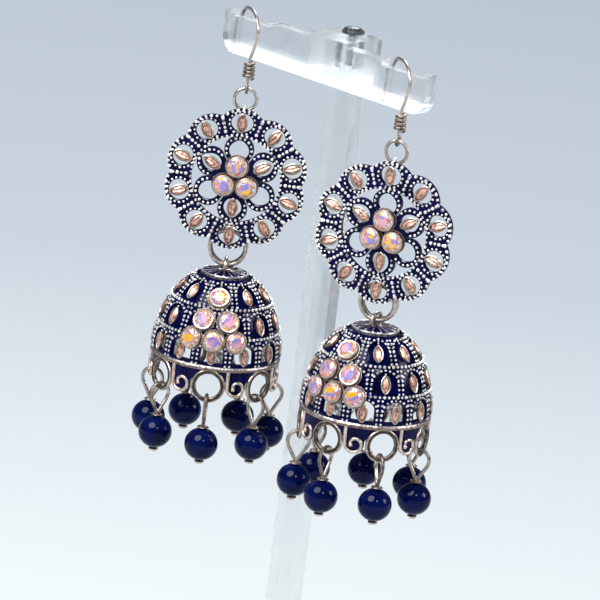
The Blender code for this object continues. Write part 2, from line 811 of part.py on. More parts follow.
def crossbar_outline():
    """The crossbar's face: a notch for each hook in its top edge, and round lower corners."""
    half = BAR_LENGTH / 2
    low = STAND_HEIGHT - BAR_HEIGHT
    points = []
    for side in (-1, 1):
        middle = side * NOTCH_SPACING / 2
        points.append((middle - NOTCH_WIDTH / 2, STAND_HEIGHT))
        points.append((middle - NOTCH_WIDTH / 2 + NOTCH_DEPTH / 2, STAND_HEIGHT - NOTCH_DEPTH))
        points.append((middle + NOTCH_WIDTH / 2 - NOTCH_DEPTH / 2, STAND_HEIGHT - NOTCH_DEPTH))
        points.append((middle + NOTCH_WIDTH / 2, STAND_HEIGHT))
    points.append((half, STAND_HEIGHT))
    for side in (1, -1):
        for i in range(5):
            angle = math.pi / 2 * (i if side > 0 else 4 - i) / 4
            x = side * (half - BAR_CORNER + BAR_CORNER * math.cos(angle))
            points.append((x, low + BAR_CORNER - BAR_CORNER * math.sin(angle)))
    points.append((-half, STAND_HEIGHT))
    return points


def crossbar_mesh():
    """The crossbar with the block behind its middle, drilled for the screw."""
    bar = flat_plate([crossbar_outline()], BAR_THICKNESS)
    block_height = BAR_HEIGHT + BLOCK_RISE
    bpy.ops.mesh.primitive_cube_add(size=1.0)
    cube = bpy.context.object
    cube.data.transform(Matrix.Diagonal((BLOCK_WIDTH, BLOCK_DEPTH, block_height, 1.0)))
    cube.data.transform(shift(y=(BLOCK_DEPTH - BAR_THICKNESS) / 2, z=STAND_HEIGHT + BLOCK_RISE - block_height / 2))
    block = evaluated_mesh(cube)
    hole_radius = SCREW_SHANK_RADIUS + SEAT_GAP
    top = STAND_HEIGHT + 2 * BLOCK_RISE
    floor = STAND_HEIGHT + BLOCK_RISE - SCREW_LENGTH - SEAT_GAP
    hole = turned([(0.0, top), (hole_radius, top), (hole_radius, floor), (0.0, floor)], 12)
    hole = moved(hole, shift(y=POST_SETBACK))
    return combined(combined(bar, [block], "UNION"), [hole], "DIFFERENCE")


def screw_mesh():
    """A low domed screw that holds the crossbar on the post."""
    seat = STAND_HEIGHT + BLOCK_RISE + SEAT_GAP
    profile = [
        (0.0, seat + SCREW_HEAD_HEIGHT),
        (SCREW_HEAD_RADIUS * 0.6, seat + SCREW_HEAD_HEIGHT * 0.85),
        (SCREW_HEAD_RADIUS, seat + SCREW_HEAD_HEIGHT * 0.35),
        (SCREW_HEAD_RADIUS, seat),
        (SCREW_SHANK_RADIUS, seat),
        (SCREW_SHANK_RADIUS, seat - SCREW_LENGTH + SEAT_GAP),
        (0.0, seat - SCREW_LENGTH + SEAT_GAP),
    ]
    return moved(turned(profile, 12), shift(y=POST_SETBACK))


def shade(mesh):
    mesh.shade_smooth()
    mesh.set_sharp_from_angle(angle=math.radians(35))


def add_part(name, mesh, material, parent=None, local=None):
    """A finished part: one named object in the parts collection."""
    obj = bpy.data.objects.new(name, mesh)
    if not mesh.materials:
        mesh.materials.append(material)
        shade(mesh)
    bpy.data.collections["jhumka_earrings"].objects.link(obj)
    if parent is not None:
        obj.parent = parent
    obj.matrix_local = local if local is not None else Matrix.Identity(4)
    return obj


def add_empty(name, location, turn):
    empty = bpy.data.objects.new(name, None)
    bpy.data.collections["jhumka_earrings"].objects.link(empty)
    empty.location = location
    empty.rotation_euler = (0.0, 0.0, turn)
    return empty


def build_stand(materials):
    add_part("stand_base", base_mesh(), materials["clear_acrylic"])
    add_part("stand_post", post_mesh(), materials["clear_acrylic"])
    add_part("stand_crossbar", crossbar_mesh(), materials["clear_acrylic"])
    add_part("stand_screw", screw_mesh(), materials["dark_screw"])


def shared_meshes():
    """The meshes that both earrings use, each in the frame of what carries it."""
    from_drop = shift(*(-drop_hinge()))
    ring = torus(JUMP_RING_RADIUS, JUMP_RING_WIRE / 2, RING_STEPS)
    bail = torus(BAIL_RADIUS, BAIL_WIRE / 2, RING_STEPS + 2)
    stone = stone_mesh(SEAT_GAP + LINK_GAP)
    meshes = {
        "rosette": moved(rosette_mesh(), from_drop),
        "jump_ring": moved(ring, shift(0.0, jump_ring_y(), jump_ring_z()), from_drop),
        "bell": bell_mesh(),
        "pin": pin_mesh(),
        "bead": bead_mesh(),
        "coil": coil_mesh(),
    }
    for i, side in enumerate((-1, 1)):
        place = shift(0.0, bail_y() + side * bail_spacing() / 2, bail_centre_z())
        meshes[f"bail_ring_{i + 1}"] = moved(bail, place, from_drop)
    for i, (x, z) in enumerate(stone_places()):
        meshes[f"rosette_stone_{i + 1}"] = moved(stone, shift(x, -PLATE_THICKNESS / 2, z), from_drop)
    return meshes


def build_earring(side, values, meshes, materials):
    silver, enamel = materials["silver"], materials["silver_enamel"]
    hinge = Vector((values["x"], hinge_y(), drop_hinge_z()))
    seat = add_empty(f"{side}_seat", hinge, 0.0)
    add_part(f"{side}_ear_hook", hook_mesh(values["rosette_turn"]), silver, seat)
    add_part(f"{side}_hook_coil", meshes["coil"], silver, seat)
    drop = add_empty(f"{side}_drop_swing", hinge, values["rosette_turn"])
    add_part(f"{side}_jump_ring", meshes["jump_ring"], silver, drop)
    add_part(f"{side}_rosette", meshes["rosette"], enamel, drop)
    for i in (1, 2, 3):
        add_part(f"{side}_rosette_stone_{i}", meshes[f"rosette_stone_{i}"], materials["crystal"], drop)
    for i in (1, 2):
        add_part(f"{side}_bail_ring_{i}", meshes[f"bail_ring_{i}"], silver, drop)
    below = turn_z(values["rosette_turn"]) @ (bell_hinge() - drop_hinge())
    bell = add_empty(f"{side}_bell_swing", hinge + below, values["bell_turn"])
    add_part(f"{side}_bell", meshes["bell"], enamel, bell)
    for i in range(DROPS):
        place = turn_z(2 * math.pi * i / DROPS) @ shift(0.0, -rim_ring_orbit(), 0.0)
        add_part(f"{side}_bead_pin_{i + 1}", meshes["pin"], silver, bell, place @ shift(z=pin_loop_top()))
        add_part(f"{side}_bead_{i + 1}", meshes["bead"], materials["blue_bead"], bell, place @ shift(z=bead_top_z()))


def hinge_y():
    """The earrings' plumb lines lie in front of the crossbar by the hook's lean."""
    return -hook_lean() * math.cos(HOOK_TURN)


def main():
    clear_scene()
    new_collection("jhumka_earrings")
    new_collection("helpers", helper=True)
    materials = make_materials()
    build_stand(materials)
    meshes = shared_meshes()
    for side, values in EARRINGS.items():
        build_earring(side, values, meshes, materials)


main()
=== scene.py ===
"""The looks of a pair of jhumka earrings that hang on a clear display stand.

Every piece is a surface worked out in arrays, in millimetres, in the frame of what carries it:
the ear hook's eye for a rosette, and the bottom of the bail rings for a bell.
"""

import json
import logging
import math
from dataclasses import dataclass
from enum import Enum
from typing import Iterable, Sequence

import bpy
import numpy as np
from mathutils import Matrix, Vector


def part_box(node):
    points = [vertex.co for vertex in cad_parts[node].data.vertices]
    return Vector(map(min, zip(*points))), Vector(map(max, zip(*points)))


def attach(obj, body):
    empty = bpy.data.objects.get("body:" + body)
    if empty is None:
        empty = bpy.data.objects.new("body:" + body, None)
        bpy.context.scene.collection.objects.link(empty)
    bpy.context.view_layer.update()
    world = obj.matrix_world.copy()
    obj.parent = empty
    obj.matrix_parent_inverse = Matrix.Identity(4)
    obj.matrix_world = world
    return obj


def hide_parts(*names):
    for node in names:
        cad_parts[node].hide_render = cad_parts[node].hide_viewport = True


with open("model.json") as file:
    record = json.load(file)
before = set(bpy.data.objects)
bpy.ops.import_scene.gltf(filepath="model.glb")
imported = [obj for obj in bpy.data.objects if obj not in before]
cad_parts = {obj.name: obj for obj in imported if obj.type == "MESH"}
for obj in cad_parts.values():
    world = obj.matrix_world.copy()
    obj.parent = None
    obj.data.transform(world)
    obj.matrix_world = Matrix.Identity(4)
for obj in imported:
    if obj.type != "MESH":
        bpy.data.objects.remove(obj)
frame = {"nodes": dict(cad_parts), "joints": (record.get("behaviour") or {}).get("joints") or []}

Array = np.ndarray
log = logging.getLogger("jhumka")

MM = 0.001
WELD = 1e-5
FULL_TURN = 2 * math.pi
SHARP_EDGE = math.radians(42)
OUTLINE_STEP = 0.12


class Side(Enum):
    """The two earrings."""

    LEFT = "left"
    RIGHT = "right"


class Slot(Enum):
    """The record's material slots."""

    ACRYLIC = "clear_acrylic"
    SCREW = "dark_screw"
    SILVER = "silver"
    ENAMEL = "silver_enamel"
    CRYSTAL = "crystal"
    BEAD = "blue_bead"


# Surfaces


def unit(vectors: Array) -> Array:
    """Vectors at length one."""
    return vectors / np.maximum(np.linalg.norm(vectors, axis=-1, keepdims=True), 1e-12)


def columns(*parts: Array | float) -> Array:
    """Arrays of coordinates set side by side in the last axis."""
    return np.stack(np.broadcast_arrays(*parts), axis=-1)


def steps_round(count: int, first: float = 0.0) -> Array:
    """Even angles round a circle, the first one set round by a share of the step."""
    return (np.arange(count) + first) * FULL_TURN / count


def shifts(offsets: Array) -> Array:
    """Matrices that move by offsets.

    Args:
        offsets: (n, 3) offsets, in millimetres.

    Returns:
        (n, 4, 4) matrices.
    """
    offsets = np.atleast_2d(np.asarray(offsets, float))
    made = np.tile(np.eye(4), (len(offsets), 1, 1))
    made[:, :3, 3] = offsets
    return made


def turns(axis: str, angles: Array | float) -> Array:
    """Matrices that turn about one of the axes.

    Args:
        axis: X, Y or Z.
        angles: Angles in radians.

    Returns:
        (n, 4, 4) matrices.
    """
    angles = np.atleast_1d(np.asarray(angles, float))
    first, second = {"X": (1, 2), "Y": (2, 0), "Z": (0, 1)}[axis]
    made = np.tile(np.eye(4), (len(angles), 1, 1))
    made[:, first, first] = np.cos(angles)
    made[:, second, second] = np.cos(angles)
    made[:, first, second] = -np.sin(angles)
    made[:, second, first] = np.sin(angles)
    return made


@dataclass(frozen=True)
class Patch:
    """A surface: points, faces of four or three sides, and a tone from 0 to 1 at each point."""

    points: Array
    quads: Array
    tris: Array
    tone: Array

    @classmethod
    def grid(
        cls,
        points: Array,
        wrap_rows: bool = False,
        wrap_columns: bool = False,
        tone: Array | float = 1.0,
    ) -> "Patch":
        """A surface over a grid of points.

        Args:
            points: (rows, columns, 3) points.
            wrap_rows: Whether the last row joins the first.
            wrap_columns: Whether the last column joins the first.
            tone: One tone, or one for each point.

        Returns:
            The surface, with points in the same place made one and its faces outward.
        """
        rows, columns = points.shape[:2]
        index = np.arange(rows * columns).reshape(rows, columns)
        if wrap_rows:
            index = np.vstack([index, index[:1]])
        if wrap_columns:
            index = np.hstack([index, index[:, :1]])
        corners = [index[:-1, :-1], index[1:, :-1], index[1:, 1:], index[:-1, 1:]]
        quads = np.stack(corners, axis=-1).reshape(-1, 4)
        tones = np.broadcast_to(tone, (rows, columns)).reshape(-1).astype(float)
        made = cls(points.reshape(-1, 3), quads, np.empty((0, 3), int), tones)
        return made.welded().outward()

    def welded(self) -> "Patch":
        """The surface with points in the same place made one.

        A face of four sides that this folds becomes one of three.

        Returns:
            The surface.
        """
        keys = np.round(self.points / WELD).astype(np.int64)
        _, first, index = np.unique(keys, axis=0, return_index=True, return_inverse=True)
        quads = index.reshape(-1)[self.quads]
        repeated = quads == np.roll(quads, -1, axis=1)
        count = repeated.sum(axis=1)
        folded = quads[count == 1][~repeated[count == 1]].reshape(-1, 3)
        tris = np.vstack([index.reshape(-1)[self.tris], folded])
        return Patch(self.points[first], quads[count == 0], tris, self.tone[first])

    def outward(self) -> "Patch":
        """The surface with its faces outward, by the sign of the volume that it holds.

        Returns:
            The surface.
        """
        halves = (self.quads[:, [0, 1, 2]], self.quads[:, [0, 2, 3]], self.tris)
        corners = (self.points - self.points.mean(axis=0))[np.vstack(halves)]
        if np.linalg.det(corners).sum() >= 0:
            return self
        return Patch(self.points, self.quads[:, ::-1], self.tris[:, ::-1], self.tone)

    def placed(self, matrices: Array) -> "Patch":
        """Copies of the surface, one for each matrix.

        Args:
            matrices: (n, 4, 4) matrices that don't mirror.

        Returns:
            All the copies as one surface.
        """
        count = len(self.points)
        points = np.einsum("kij,nj->kni", matrices[:, :3, :3], self.points)
        points = points + matrices[:, None, :3, 3]
        offsets = (np.arange(len(matrices)) * count)[:, None, None]
        return Patch(
            points.reshape(-1, 3),
            (self.quads[None] + offsets).reshape(-1, 4),
            (self.tris[None] + offsets).reshape(-1, 3),
            np.tile(self.tone, len(matrices)),
        )

    def toned(self, tone: float) -> "Patch":
        """The same surface with one tone all over."""
        return Patch(self.points, self.quads, self.tris, np.full(len(self.points), tone))

    @classmethod
    def joined(cls, patches: Iterable["Patch"]) -> "Patch":
        """Several surfaces as one.

        Args:
            patches: The surfaces.

        Returns:
            One surface that holds them all.
        """
        patches = list(patches)
        starts = np.cumsum([0] + [len(patch.points) for patch in patches[:-1]])
        return cls(
            np.vstack([patch.points for patch in patches]),
            np.vstack([patch.quads + start for patch, start in zip(patches, starts)]),
            np.vstack([patch.tris + start for patch, start in zip(patches, starts)]),
            np.concatenate([patch.tone for patch in patches]),
        )


def turned(profile: Array, sides: int, closed: bool = False, tone: Array | float = 1.0) -> Patch:
    """A surface of revolution about Z.

    Args:
        profile: (n, 2) radii and heights; an open profile starts and ends on the axis.
        sides: Points around.
        closed: Whether the profile's end joins its start.
        tone: One tone, or one for each point of the profile.

    Returns:
        The closed surface.
    """
    profile = np.asarray(profile, float)
    around = steps_round(sides)
    radius, height = profile[:, :1], profile[:, 1:]
    points = columns(radius * np.cos(around), radius * np.sin(around), height)
    tones = np.broadcast_to(np.reshape(tone, (-1, 1)), (len(profile), sides))
    return Patch.grid(points, wrap_rows=closed, wrap_columns=True, tone=tones)


def tube(
    path: Array,
    radius: Array | float,
    normal: Sequence[float],
    sides: int = 12,
    closed: bool = False,
    groove: float = 0.0,
    shade_and_tarnish: float = 0.6,
) -> Patch:
    """A round wire along a path, with rounded ends where it is open.

    Args:
        path: (n, 3) points of the wire's middle.
        radius: The wire's radius, or one for each point.
        normal: A direction that the path never runs along.
        sides: Points around the wire.
        closed: Whether the path's end joins its start.
        groove: Share of the radius that a groove takes on the two sides that face the normal.
        shade_and_tarnish: How much the tone falls on the side that a ring's middle sees: painted
        shade, together with the tarnished finish that stays on that side.

    Returns:
        The closed surface.
    """
    if closed:
        ahead = unit(np.roll(path, -1, axis=0) - np.roll(path, 1, axis=0))
    else:
        ahead = unit(np.gradient(path, axis=0))
    across = unit(np.cross(ahead, np.asarray(normal, float)))
    rise = np.cross(across, ahead)
    around = steps_round(sides)
    swell = 1 - groove * np.sin(around) ** 8
    ring = across[:, None] * (swell * np.cos(around))[:, None]
    ring = ring + rise[:, None] * (swell * np.sin(around))[:, None]
    radii = np.broadcast_to(radius, len(path)).astype(float)
    points = path[:, None] + ring * radii[:, None, None]
    if not closed:
        caps = []
        for end, way in ((0, -1), (-1, 1)):
            for share, out in ((0.8, 0.4), (0.0, 0.62)):
                middle = path[end] + way * out * radii[end] * ahead[end]
                caps.append(middle + ring[end] * radii[end] * share)
        points = np.concatenate([[caps[1]], [caps[0]], points, [caps[2]], [caps[3]]])
    # Painted shade: by shade_and_tarnish the tone falls on one side of the wire, which darkens it
    # with the tarnished finish there.
    tone = 1 - np.sign(groove) * np.sin(around) ** 8 - shade_and_tarnish * np.maximum(np.cos(around), 0)
    return Patch.grid(points, wrap_rows=closed, wrap_columns=True, tone=tone)


def ring_path(radius: float, steps: int, plane: str = "XZ", stretch: float = 1.0) -> Array:
    """The middle of a ring's wire, about the origin.

    Args:
        radius: Mean radius.
        steps: Points round the ring.
        plane: XZ, YZ or XY.
        stretch: Its second way as a share of the first.

    Returns:
        (steps, 3) points.
    """
    around = steps_round(steps)
    path = np.zeros((steps, 3))
    first, second = ("XYZ".index(letter) for letter in plane)
    path[:, first] = radius * np.cos(around)
    path[:, second] = radius * stretch * np.sin(around)
    return path


def wire_ring(
    radius: float,
    wire: float,
    middle: Sequence[float],
    plane: str = "XZ",
    steps: int = 64,
    stretch: float = 1.0,
    sides: int = 12,
    groove: float = 0.0,
) -> Patch:
    """A ring of round wire.

    Args:
        radius: The ring's mean radius.
        wire: The wire's radius.
        middle: The ring's middle.
        plane: XZ, YZ or XY.
        steps: Points round the ring.
        stretch: Its second way as a share of the first.
        sides: Points around the wire.
        groove: Share of the wire's radius that a groove takes on its two flat sides.

    Returns:
        The closed surface.
    """
    path = ring_path(radius, steps, plane, stretch) + np.asarray(middle, float)
    normal = [float(letter not in plane) for letter in "XYZ"]
    return tube(path, wire, normal, sides, closed=True, groove=groove)


def grain(sides: int = 8, rows: int = 5) -> Patch:
    """A small round grain of radius one, as a half circle turned about Z."""
    down = np.linspace(0, math.pi, rows)
    return turned(columns(np.sin(down), np.cos(down)), sides)


def spaced(path: Array, spacing: float, closed: bool = False) -> Array:
    """Points at an even spacing along a path.

    Args:
        path: (n, k) points.
        spacing: The spacing wished for, which is rounded to fit.
        closed: Whether the path's end joins its start.

    Returns:
        (m, k) points.
    """
    if closed:
        path = np.vstack([path, path[:1]])
    steps = np.linalg.norm(np.diff(path, axis=0), axis=1)
    along = np.concatenate([[0.0], np.cumsum(steps)])
    count = max(2, round(along[-1] / spacing) + (not closed))
    wanted = np.linspace(0, along[-1], count, endpoint=not closed)
    return np.stack([np.interp(wanted, along, column) for column in path.T], axis=1)


def smooth(points: Array, count: int) -> Array:
    """A smooth curve through points, by the Catmull-Rom formula.

    Args:
        points: (n, k) points that the curve goes through.
        count: Points in each stretch.

    Returns:
        The curve's points.
    """
    padded = np.vstack([2 * points[0] - points[1], points, 2 * points[-1] - points[-2]])
    a, b, c, d = padded[:-3, None], padded[1:-2, None], padded[2:-1, None], padded[3:, None]
    t = np.linspace(0, 1, count, endpoint=False)[None, :, None]
    second, third = a - 2.5 * b + 2 * c - 0.5 * d, 1.5 * (b - c) + 0.5 * (d - a)
    curve = b + 0.5 * t * (c - a) + t**2 * second + t**3 * third
    return np.vstack([curve.reshape(-1, points.shape[1]), points[-1:]])


def by_angle(outline: Array, centre: Array, angles: Array) -> Array:
    """Where rays from a centre meet a closed outline that is seen whole from there.

    Args:
        outline: (n, 2) points.
        centre: The rays' start.
        angles: The rays' angles.

    Returns:
        (len(angles), 2) points.
    """
    away = outline - centre
    bearing = np.arctan2(away[:, 1], away[:, 0])
    reach = np.interp(angles, bearing, np.hypot(away[:, 0], away[:, 1]), period=FULL_TURN)
    return centre + reach[:, None] * columns(np.cos(angles), np.sin(angles))


def filled(corners: Array, step: float, closed: bool = True) -> Array:
    """The points along straight lines between corners.

    Args:
        corners: (n, 2) corners.
        step: The spacing wished for.
        closed: Whether the last corner joins the first.

    Returns:
        Closely spaced points.
    """
    ends = np.roll(corners, -1, axis=0) if closed else corners[1:]
    starts = corners if closed else corners[:-1]
    lines = []
    for start, end in zip(starts, ends):
        share = np.arange(0, 1, step / max(np.hypot(*(end - start)), step))
        lines.append(start + (end - start) * share[:, None])
    return np.vstack(lines)


@dataclass(frozen=True)
class Opening:
    """A pierced opening in a cast plate: a raised rim round it and ground beyond.

    The surface is a closed frame. Each ray from the opening's middle crosses it from the inner
    outline to the outer one, and the section along the ray is the same all round: wall, rim,
    ground, wall.
    """

    inner: Array
    outer: Array
    centre: Array
    rim: float
    rise: float
    depth: float
    rays: int = 72

    def section(self) -> tuple[Array, Array, Array]:
        """The frame's points.

        Returns:
            (rays, k, 2) places on the plate, (k,) heights over the ground, and (k,) tones.
        """
        angles = steps_round(self.rays, 0.5)
        inner = by_angle(self.inner, self.centre, angles)
        outer = by_angle(self.outer, self.centre, angles)
        width = np.linalg.norm(outer - inner, axis=1)[:, None]
        rim, rise, back = self.rim, self.rise, -self.depth
        steps = [0.5 * rim, 0.0, 0.0, 0.22 * rim, 0.72 * rim, rim, 1.12 * rim, math.inf, math.inf]
        away = np.minimum(steps, width)
        heights = np.array([back, back, 0.4 * rise, rise, rise, 0.3 * rise, 0.0, 0.0, back])
        tones = np.array([1.0, 0.1, 0.1, 0.3, 0.3, 0.1, 0.0, 0.0, 0.3])
        places = inner[:, None] + unit(outer - inner)[:, None] * away[:, :, None]
        return places, heights, tones


def leaf(length: float, width: float, rise: float) -> Patch:
    """A raised leaf in the XZ plane that faces -Y, pointed at both ends and veined.

    Its half width is a power of 1 - s squared, with s from -1 to 1 along it, and its section is
    half an oval with a dip at the vein. Its tone falls from 1 over its swell to 0 at its edge.

    Args:
        length: Its length along Z.
        width: Its greatest width.
        rise: How high it stands at its middle.

    Returns:
        The closed surface.
    """
    along = np.sin(np.linspace(-math.pi / 2, math.pi / 2, 15))[:, None]
    around = steps_round(16)[None]
    half = width / 2 * (1 - along**2) ** 0.66
    across = half * np.cos(around)
    crown = np.where(np.sin(around) > 0, 1.0, 0.3) * np.sin(around)
    vein = 1 - 0.3 * np.exp(-((np.cos(around) / 0.2) ** 2)) * (np.sin(around) > 0)
    height = rise * crown * vein * (1 - along**2) ** 0.45
    points = columns(across, -height, along * length / 2)
    swell = np.maximum(np.sin(around), 0) * (1 - along**8)
    return Patch.grid(points, wrap_columns=True, tone=swell)


def leaf_edge(length: float, width: float, wire: float, lift: float) -> Patch:
    """The fine wire round a leaf.

    Args:
        length: The leaf's length.
        width: The leaf's width.
        wire: The wire's radius.
        lift: How far the wire's middle is in front of the leaf's back.

    Returns:
        The closed surface.
    """
    around = steps_round(40)
    across = width / 2 * np.cos(around) * np.abs(np.cos(around)) ** 0.3
    path = columns(across, -lift, length / 2 * np.sin(around))
    return tube(path, wire, (0, 1, 0), sides=7, closed=True).toned(1.0)


@dataclass(frozen=True)
class CutStone:
    """A round cut stone: a table, stars, kites and halves over the girdle, a pavilion below."""

    radius: float
    crown: float
    girdle: float
    pavilion: float

    def patch(self) -> Patch:
        """The stone, which faces -Y with its girdle's foot at the origin.

        Sixteen columns go round it. Even columns hold the table's corners and odd ones the
        middles of its sides, so a row's radius and height depend on whether its column is even.

        Returns:
            The closed surface.
        """
        around = steps_round(16)
        odd = np.arange(16) % 2
        table = 0.56 * np.where(odd, math.cos(math.pi / 8), 1.0)
        waist = np.where(odd, 0.80, 0.76)
        waist_height = np.where(odd, 0.56, 0.50)
        none, full = np.zeros(16), np.ones(16)
        radii = np.stack([none, table, waist, full, full, none]) * self.radius
        top = np.full(16, self.crown + self.girdle)
        shoulder = self.girdle + self.crown * waist_height
        heights = np.stack([top, top, shoulder, self.girdle * full, none, -self.pavilion * full])
        points = columns(radii * np.cos(around), -heights, radii * np.sin(around))
        tone = np.array([[0.0], [0.3], [0.8], [1.0], [1.0], [1.0]])
        return Patch.grid(points, wrap_columns=True, tone=tone)


@dataclass(frozen=True)
class Bezel:
    """A round cup for a stone: a wall that leans in at its lip, on a foot of small grains."""

    radius: float
    wall: float
    height: float

    def patch(self) -> Patch:
        """The cup, which faces -Y with its foot at the origin.

        Returns:
            The closed surface.
        """
        r, w, h = self.radius, self.wall, self.height
        profile = [(0, 0.25 * h), (r, 0.25 * h), (r, 0.86 * h), (r - 0.35 * w, h)]
        profile += [(r + 0.3 * w, 1.02 * h), (r + 0.85 * w, 0.88 * h), (r + w, 0.6 * h)]
        profile += [(r + w, 0.1 * h), (r + 1.5 * w, 0), (0, -0.1)]
        rubbed = [0.2, 0.2, 0.7, 1.0, 1.0, 0.7, 0.15, 0.1, 0.1, 0.1]
        cup = turned(np.array(profile), 40, tone=rubbed)
        size, lift = 0.17, 0.12
        foot = spaced(ring_path(r + w + 0.6 * size, 72, "XY") + [0, 0, lift], 2.2 * size, True)
        grains = grain().placed(shifts(foot) @ np.diag([size, size, size, 1.0]))
        return Patch.joined([cup, grains]).placed(turns("X", math.pi / 2))


def milgrain(path: Array, size: float, closed: bool = False, gap: float = 3.3) -> Patch:
    """A line of small grains, whose sizes vary a little, as a sine of their number.

    Args:
        path: (n, 3) points that the line follows.
        size: A grain's mean radius.
        closed: Whether the line's end joins its start.
        gap: The spacing as a share of the radius.

    Returns:
        The grains.
    """
    matrices = shifts(spaced(path, gap * size, closed))
    sizes = size * (1 + 0.14 * np.sin(2.4 * np.arange(len(matrices))))
    for i in range(3):
        matrices[:, i, i] = sizes
    return grain().placed(matrices)


# Sizes of the earrings, in millimetres, as the solids have them


@dataclass(frozen=True)
class Links:
    """The wires that hang the earring together."""

    hook_wire: float = 0.8
    hook_height: float = 18.35
    hook_bulge: float = 3.2
    hook_turn: float = math.radians(62)
    eye_inner: float = 0.75
    eye_play: float = 0.15
    coil_wire: float = 0.78
    coil_top: float = 0.95
    coil_bottom: float = 1.12
    coil_start: float = 2.5
    coil_length: float = 4.0
    coil_turns: float = 4.4
    jump_radius: float = 2.65
    jump_wire: float = 0.8
    bail_radius: float = 4.25
    bail_wire: float = 1.1
    bail_spacing: float = 1.4
    plate_to_jump: float = 1.5
    plate_to_bail: float = 2.15
    bar_half: float = 1.6
    gap: float = 0.3

    @property
    def rosette_centre(self) -> Array:
        """The rosette's middle below the hook's eye, in the drop's frame."""
        return np.array([0.0, -self.plate_to_jump, -21.7])

    @property
    def lean(self) -> float:
        """How far along the hook its plumb line is in front of the crossbar's middle."""
        return (self.bar_half + self.hook_wire / 2 + self.gap) / math.cos(self.hook_turn)


@dataclass(frozen=True)
class RosetteSizes:
    """The rosette's sizes. A cell is a lobe's opening, by half its width and half its height."""

    radius: float = 17.0
    notch: float = 15.5
    thickness: float = 1.2
    lobes: int = 10
    petals: int = 6
    leaf_centre: float = 13.7
    leaf_size: tuple[float, float] = (4.3, 2.25)
    leaf_rise: float = 0.95
    leaf_sink: float = 0.35
    cell: tuple[float, float] = (2.6, 2.35)
    band: float = 11.0
    petal_centre: float = 6.9
    petal_side: float = math.radians(30)
    stone_orbit: float = 3.18
    stone: float = 2.2
    stone_lift: float = 1.2
    loop_wire: float = 0.35
    loop_slack: float = 0.3
    top_loop: float = 0.6
    top_radius: float = 0.95
    bottom_loop: float = 4.05
    bottom_radius: float = 1.1


@dataclass(frozen=True)
class BellSizes:
    """The bell's sizes, in its own frame, whose origin is the bottom of the bail rings."""

    radius: float = 15.2
    height: float = 20.3
    wall: float = 1.0
    curve: float = 2.1
    cap_radius: float = 5.4
    cap_rise: float = 0.7
    cap_edge: float = -2.15
    bands: tuple[float, ...] = (0.03, 0.30, 0.62, 0.965)
    cells: tuple[int, ...] = (9, 11, 12)
    band_half: float = 0.018
    ring_radius: float = 3.5
    ring_wire: float = 1.2
    ring_sink: float = 0.3
    loop_radius: float = 2.15
    loop_wire: float = 0.45
    leaf_size: tuple[float, float] = (4.0, 2.0)
    drops: int = 7
    web_top: float = 0.15
    web_foot: float = -6.2
    curl_radius: float = 2.3
    curl_middle: float = -3.9
    stone: float = 2.2

    @property
    def orbit(self) -> float:
        """The distance of the rim rings from the bell's middle line."""
        return self.radius - self.wall / 2

    @property
    def rim(self) -> float:
        """The rim's height."""
        return self.cap_edge - self.height

    @property
    def ring_middle(self) -> float:
        """The height of a rim ring's middle over the rim."""
        return self.ring_sink - self.ring_radius - self.ring_wire / 2

    def outer(self, share: Array) -> Array:
        """The outer radius at shares of the height under the cap: a superellipse.

        Args:
            share: Shares from 0 at the cap to 1 at the rim.

        Returns:
            The radii.
        """
        full = self.height / (1 - (self.cap_radius / self.radius) ** self.curve) ** (1 / self.curve)
        rise = self.height * (1 - np.asarray(share, float)) / full
        return self.radius * (1 - rise**self.curve) ** (1 / self.curve)

    def drop(self, share: Array) -> Array:
        """The height of a share in the bell's frame."""
        return self.cap_edge - np.asarray(share, float) * self.height

    def lean(self, share: Array) -> Array:
        """The wall's angle from plumb.

        Args:
            share: Shares from 0 at the cap to 1 at the rim.

        Returns:
            Angles in radians.
        """
        low = np.maximum(np.asarray(share, float) - 0.01, 0.0)
        high = np.minimum(np.asarray(share, float) + 0.01, 1.0)
        return np.arctan2(self.outer(high) - self.outer(low), (high - low) * self.height)

    def on_wall(self, angle: Array, share: Array, height: Array) -> Array:
        """Points over the wall.

        Args:
            angle: Angles round the bell, with 0 at its front.
            share: Shares of the height.
            height: Heights out of the wall.

        Returns:
            The points, with their three coordinates in the last axis.
        """
        lean = self.lean(share)
        radius = self.outer(share) + height * np.cos(lean)
        rise = self.drop(share) + height * np.sin(lean)
        return columns(radius * np.sin(angle), -radius * np.cos(angle), rise)

    def mounted(self, angle: Array, share: Array) -> Array:
        """Matrices that take a piece facing -Y to the wall.

        Args:
            angle: Angles round the bell, with 0 at its front.
            share: Shares of the height.

        Returns:
            (n, 4, 4) matrices.
        """
        angle, share = np.broadcast_arrays(np.atleast_1d(angle), np.atleast_1d(share))
        out = columns(0, -self.outer(share), self.drop(share))
        return turns("Z", angle) @ shifts(out) @ turns("X", -self.lean(share))


@dataclass(frozen=True)
class DropSizes:
    """A bead drop's sizes. Its loop's top is where it hangs from."""

    bow: float = 2.5
    loop_wire: float = 0.43
    seat: float = 0.55
    bead_top: float = 8.1
    bead_radius: float = 4.0
    bead_half_height: float = 3.9
    hole: float = 0.6


# Shader maths


